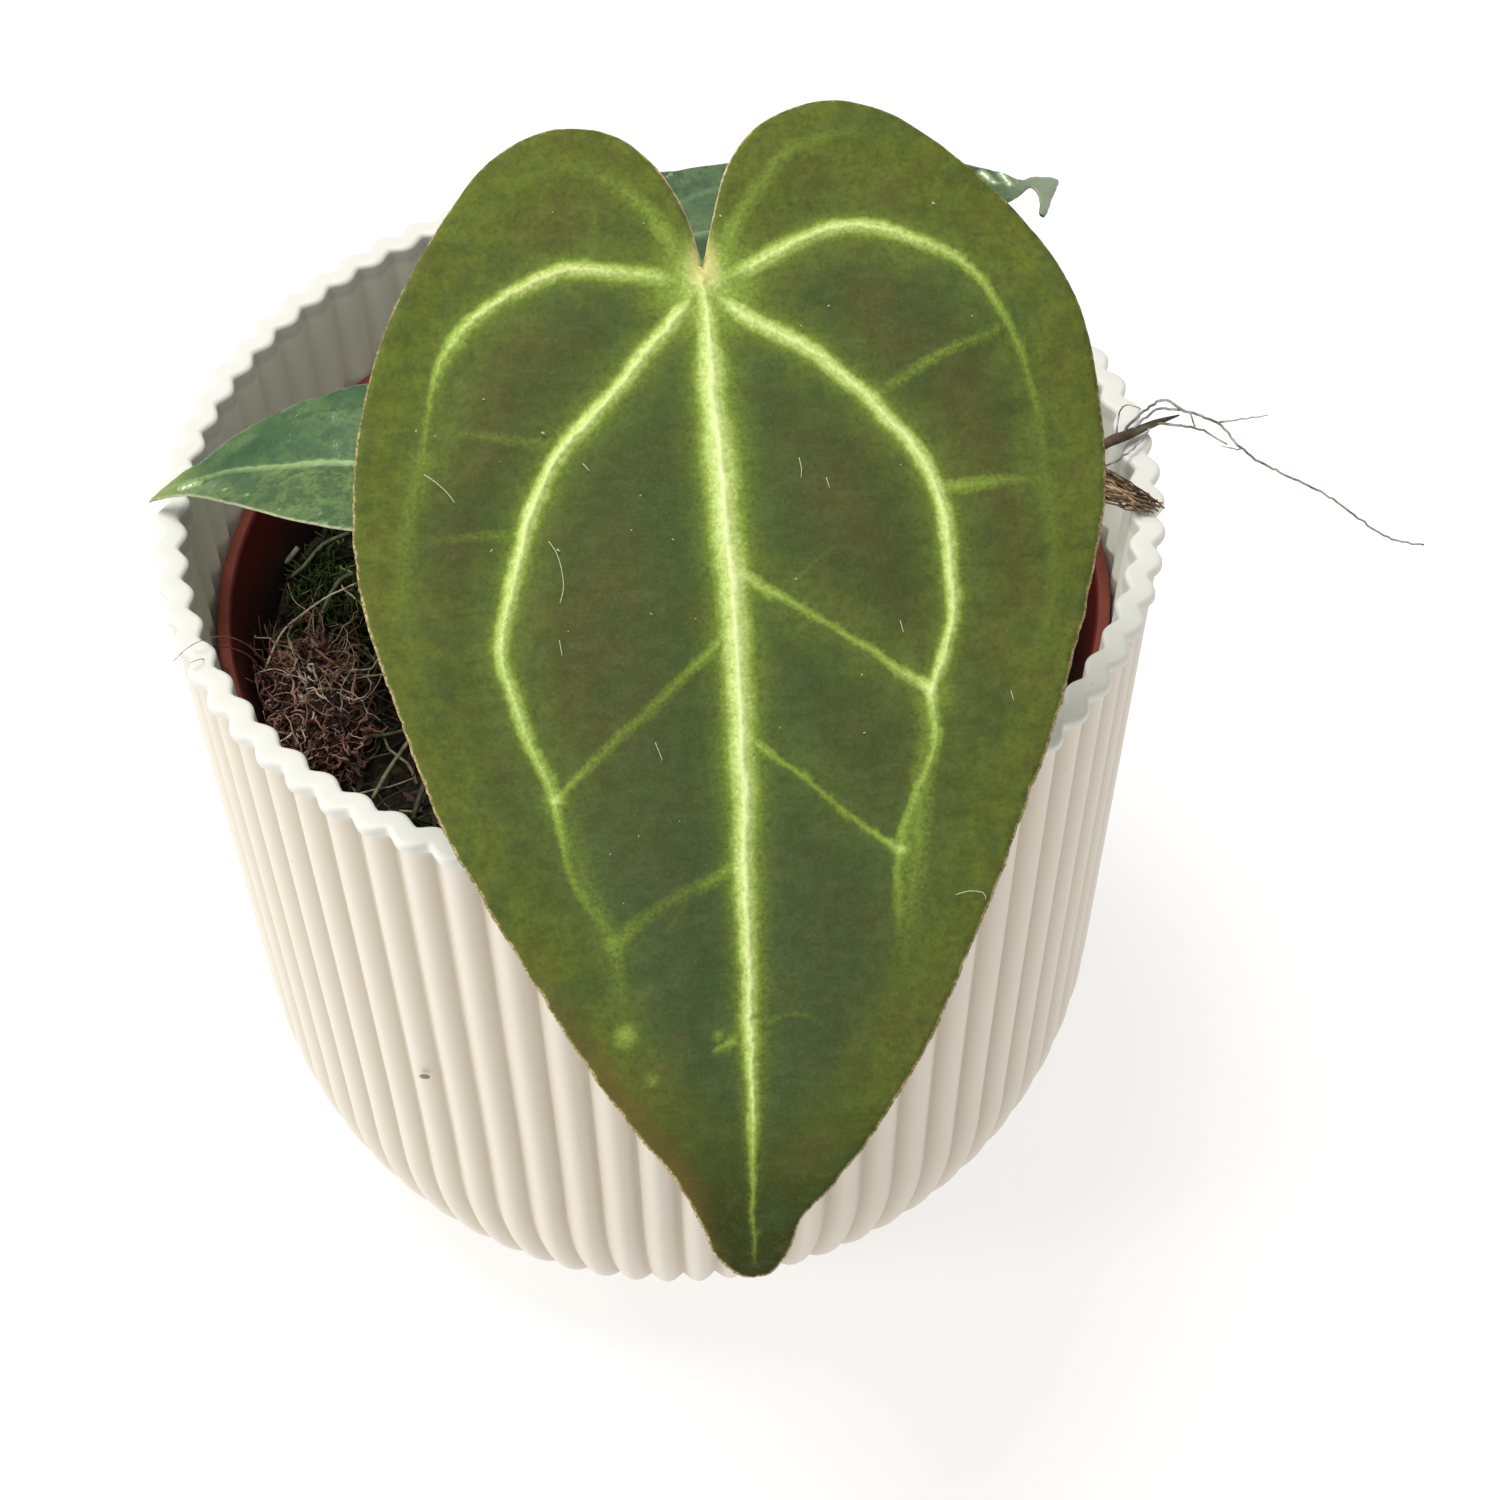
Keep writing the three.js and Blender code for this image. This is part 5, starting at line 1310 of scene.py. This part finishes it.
mat_grain = grain(matted, 800, 6, 0.7)
set_surface(matted, Base_Color=ramp(mat_grain, (0.35, (22, 14, 12)), (0.7, (72, 46, 38))))
relief(matted, mat_grain, 1.0, 0.8)
clump_core.data.materials.append(matted)
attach(clump_core, "root")


# Climbing roots
# A dark aerial root climbs out of the mix and lies over the lip at the right. Fine grey strands leave it,
# the longest of them hanging free beyond the pot, and a brown tuft of rootlets lies on the lip.

ROOT_RADIUS = 1.1
root_draw = random.Random(41)
main_line = smooth_path([
    (ROOT_X, ROOT_Y, 92), (ROOT_X + 0.6, ROOT_Y, 100), (49, 4.6, 113), (55.5, 3.6, 124), (61.6, 3.2, 131.2),
    (65.4, 4.9, 131.5), (69.6, 6.7, 131.8), (73, 7.2, 132.6),
], 0.8)
share = np.linspace(0, 1, len(main_line))
knots = np.array([noise.noise(Vector((s * 22, 0.3, 0.9))) for s in share])
taper = np.interp(share, (0, 0.7, 0.85, 0.96, 1), (1, 0.85, 0.62, 0.34, 0.1))
main_radius = ROOT_RADIUS * taper * (1 + 0.25 * knots)
main_root = strands("climbing_root", [(main_line, main_radius, 0.2)], 14)
root_skin = (600, 6, 0.7, (1, 1, 0.5))
main_root.data.materials.append(speckled_finish(
    "dark_root", 0.85, "share",
    [(0.0, (52, 38, 28)), (0.78, (92, 68, 52)), (0.9, (98, 96, 66)), (1.0, (44, 40, 32))],
    root_skin, (0.42, 0.62, 0.7), (40, 30, 24), root_skin, 0.9, 0.35,
))
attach(main_root, "root")
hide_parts("climbing_roots")

strand_paths = [
    (0.22, 0.13, [
        (64.2, 4.6, 131.5), (66.4, 6.1, 133.2), (68.6, 6.6, 135), (70.6, 6.6, 136.2), (73, 4.4, 136),
        (77.6, 3.8, 134), (80.7, 1.1, 131.5), (84.8, -0.3, 129), (93.7, -2.7, 124.5), (98.4, -5.7, 122),
        (101.5, -8.2, 121.5), (105.3, -10.6, 122.5),
    ]),
    (0.2, 0.18, [(66, 5.2, 131.6), (68.1, 6.2, 133.5), (70, 6.2, 135), (73, 4.4, 136)]),
    (0.22, 0.12, [(69.6, 6.7, 131.8), (72, 5.6, 132.3), (75.4, 4.6, 132.2), (79.1, 2.5, 131)]),
    (0.16, 0.06, [(77.6, 3.8, 134), (81, 3.7, 134.5), (84.7, 4.4, 134.4)]),
    (0.2, 0.16, [(57.4, 3.4, 127), (61.4, -0.6, 131.1), (66, 2.5, 131.2), (69.2, 6.5, 131.8)]),
    (0.14, 0.08, [(64, 5.5, 131.4), (64.8, 8.2, 133.2), (66.2, 8.4, 134), (67.4, 7, 134.2)]),
    (0.14, 0.08, [(73.5, 4.4, 136), (74.2, 3.2, 134.4), (74.8, 4.4, 133)]),
    (0.12, 0.06, [(80.7, 1.1, 131.5), (79.4, 2.2, 130.6), (78.2, 2.0, 131.2)]),
]
strand_lines = []
for first, last, path in strand_paths:
    line = smooth_path(path, 0.7)
    line[1:-1] += [[root_draw.gauss(0, 0.07) for _ in range(3)] for _ in line[1:-1]]
    strand_lines.append((line, np.linspace(first, last, len(line)), root_draw.uniform(0.3, 0.8)))
fine_strands = strands("fine_root_strands", strand_lines, 7)
grey_root = new_finish("grey_rootlet", 0.8)
rootlet_grain = grain(grey_root, 500, 4)
grey_shade = ramp(rootlet_grain, (0.38, (98, 92, 94)), (0.5, (138, 133, 136)), (0.64, (176, 172, 172)))
set_surface(grey_root, Base_Color=grey_shade)
relief(grey_root, grain(grey_root, 2400, 3), 0.5, 0.1)
fine_strands.data.materials.append(grey_root)
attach(fine_strands, "root")

tuft_lines = []
for _ in range(46):
    side = root_draw.uniform(-1, 1)
    reach = 5.8 * root_draw.random() ** 0.9
    path = smooth_path([
        (53.4 + root_draw.gauss(0, 0.5), 4.2, 120.5),
        (58 + root_draw.gauss(0, 0.4), 0.6 + side, 125.5 + root_draw.gauss(0, 0.5)),
        (61.2, -5 + 3 * side, 131.1 + 1.1 * root_draw.random()),
        (62.8 + reach, -8 + 2.2 * side * (1 - reach / 8) - reach * 0.2, 130.6 + 1.2 * root_draw.random()),
    ], 1.0)
    path[1:] += [[root_draw.gauss(0, 0.18) for _ in range(3)] for _ in path[1:]]
    radius = root_draw.uniform(0.14, 0.36) * np.linspace(1, 0.5, len(path))
    tuft_lines.append((path, radius, root_draw.random()))
root_tuft = strands("root_tuft", tuft_lines, 5)
root_tuft.data.materials.append(speckled_finish(
    "brown_rootlet", 0.85, "shade", [(0.0, (56, 38, 24)), (0.45, (116, 88, 60)), (0.85, (178, 152, 118))],
    (800, 4), (0.45, 0.65, 0.5), (46, 34, 22), (2400, 3), 0.5, 0.1,
))
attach(root_tuft, "root")


# Soil speck
# A crumb of mix has stuck to the outside of the cover pot, low at the front left.

SPECK_PLACE = (-37.0, -55.3, 72.9)
crumb = lump_corners * (1.6, 0.5, 1.0) @ np.array(Matrix.Rotation(math.radians(20), 3, "Y")).T
out = np.array([SPECK_PLACE[0], SPECK_PLACE[1], 0]) / math.hypot(*SPECK_PLACE[:2])
crumb = crumb + np.array(SPECK_PLACE) + 0.2 * out
soil_speck = piece_from("soil_speck", crumb, lump_faces)
carry(soil_speck, "shade", [0.3] * len(crumb))
soil_speck.data.materials.append(mineral)
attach(soil_speck, "root")


# Floor and light
# The pot stands on a plain pale floor under plain soft light: a white surround, one broad lamp overhead
# and a weaker one low at the left.

FLOOR_HALF = 6.0
floor_mesh = bpy.data.meshes.new("pale_floor")
floor_corners = [(FLOOR_HALF * x, FLOOR_HALF * y, 0) for x, y in ((-1, -1), (1, -1), (1, 1), (-1, 1))]
floor_mesh.from_pydata(floor_corners, [], [(0, 1, 2, 3)])
pale_floor = bpy.data.objects.new("pale_floor", floor_mesh)
bpy.context.scene.collection.objects.link(pale_floor)
floor_paint = new_finish("floor_paint", 0.9, Emission_Color=(1.0, 1.0, 1.0, 1.0), Emission_Strength=0.64)
floor_shade = ramp(grain(floor_paint, 3, 2), (0.3, (176, 176, 175)), (0.7, (180, 180, 179)))
set_surface(floor_paint, Base_Color=floor_shade)
pale_floor.data.materials.append(floor_paint)
pale_floor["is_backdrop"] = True

surround = bpy.data.worlds.new("white_surround")
surround.use_nodes = True
sky = put(surround, "SeparateXYZ", {"Vector": put(surround, "TexCoord").outputs["Generated"]}).outputs["Z"]
overhead = {"Value": sky, "To Min": 0.05, "To Max": 0.8}
far_off = {"Value": sky, "From Min": 0.03, "From Max": 0.14, "To Min": 0.85, "To Max": 0.0}
bands = [put(surround, "MapRange", spans).outputs["Result"] for spans in (overhead, far_off)]
brightness = sums("MAXIMUM", *bands)
surround.node_tree.links.new(brightness, surround.node_tree.nodes["Background"].inputs["Strength"])
surround.node_tree.nodes["Background"].inputs["Color"].default_value = (1.0, 0.97, 0.92, 1.0)
bpy.context.scene.world = surround
bpy.context.scene.view_settings.view_transform = "Standard"

for name, place, size, power in (
    ("broad_lamp", (-0.2, 0.0, 1.1), 0.5, 7.8),
    ("side_lamp", (-1.05, -0.35, 0.35), 0.3, 5.0),
):
    lamp = bpy.data.objects.new(name, bpy.data.lights.new(name, "AREA"))
    lamp.data.shape = "DISK"
    lamp.data.size = size
    lamp.data.energy = power
    lamp.location = place
    lamp.rotation_mode = "QUATERNION"
    lamp.rotation_quaternion = (Vector((0, 0, 0.1)) - Vector(place)).to_track_quat("-Z", "Y")
    bpy.context.scene.collection.objects.link(lamp)


# Camera
# It looks down on the pot from in front, about half a metre away, as the photograph does.

CAMERA_PLACE = (-3.48, -305.66, 430.54)
CAMERA_RIGHT = (0.99798, -0.06264, -0.01058)
CAMERA_FORWARD = (0.03282, 0.65094, -0.75842)
LENS = 74.39
SENSOR = 36.0
forward = Vector(CAMERA_FORWARD).normalized()
right = Vector(CAMERA_RIGHT)
right = (right - forward * right.dot(forward)).normalized()
up = right.cross(forward)
camera = bpy.data.objects.new("camera", bpy.data.cameras.new("camera"))
camera.data.lens = LENS
camera.data.sensor_width = SENSOR
camera.data.clip_start = 0.01
camera.data.clip_end = 20.0
camera.rotation_mode = "QUATERNION"
camera.location = Vector(CAMERA_PLACE) * MM
camera.rotation_quaternion = Matrix((right, up, -forward)).transposed().to_quaternion()
bpy.context.scene.collection.objects.link(camera)
bpy.context.scene.camera = camera

low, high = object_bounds()
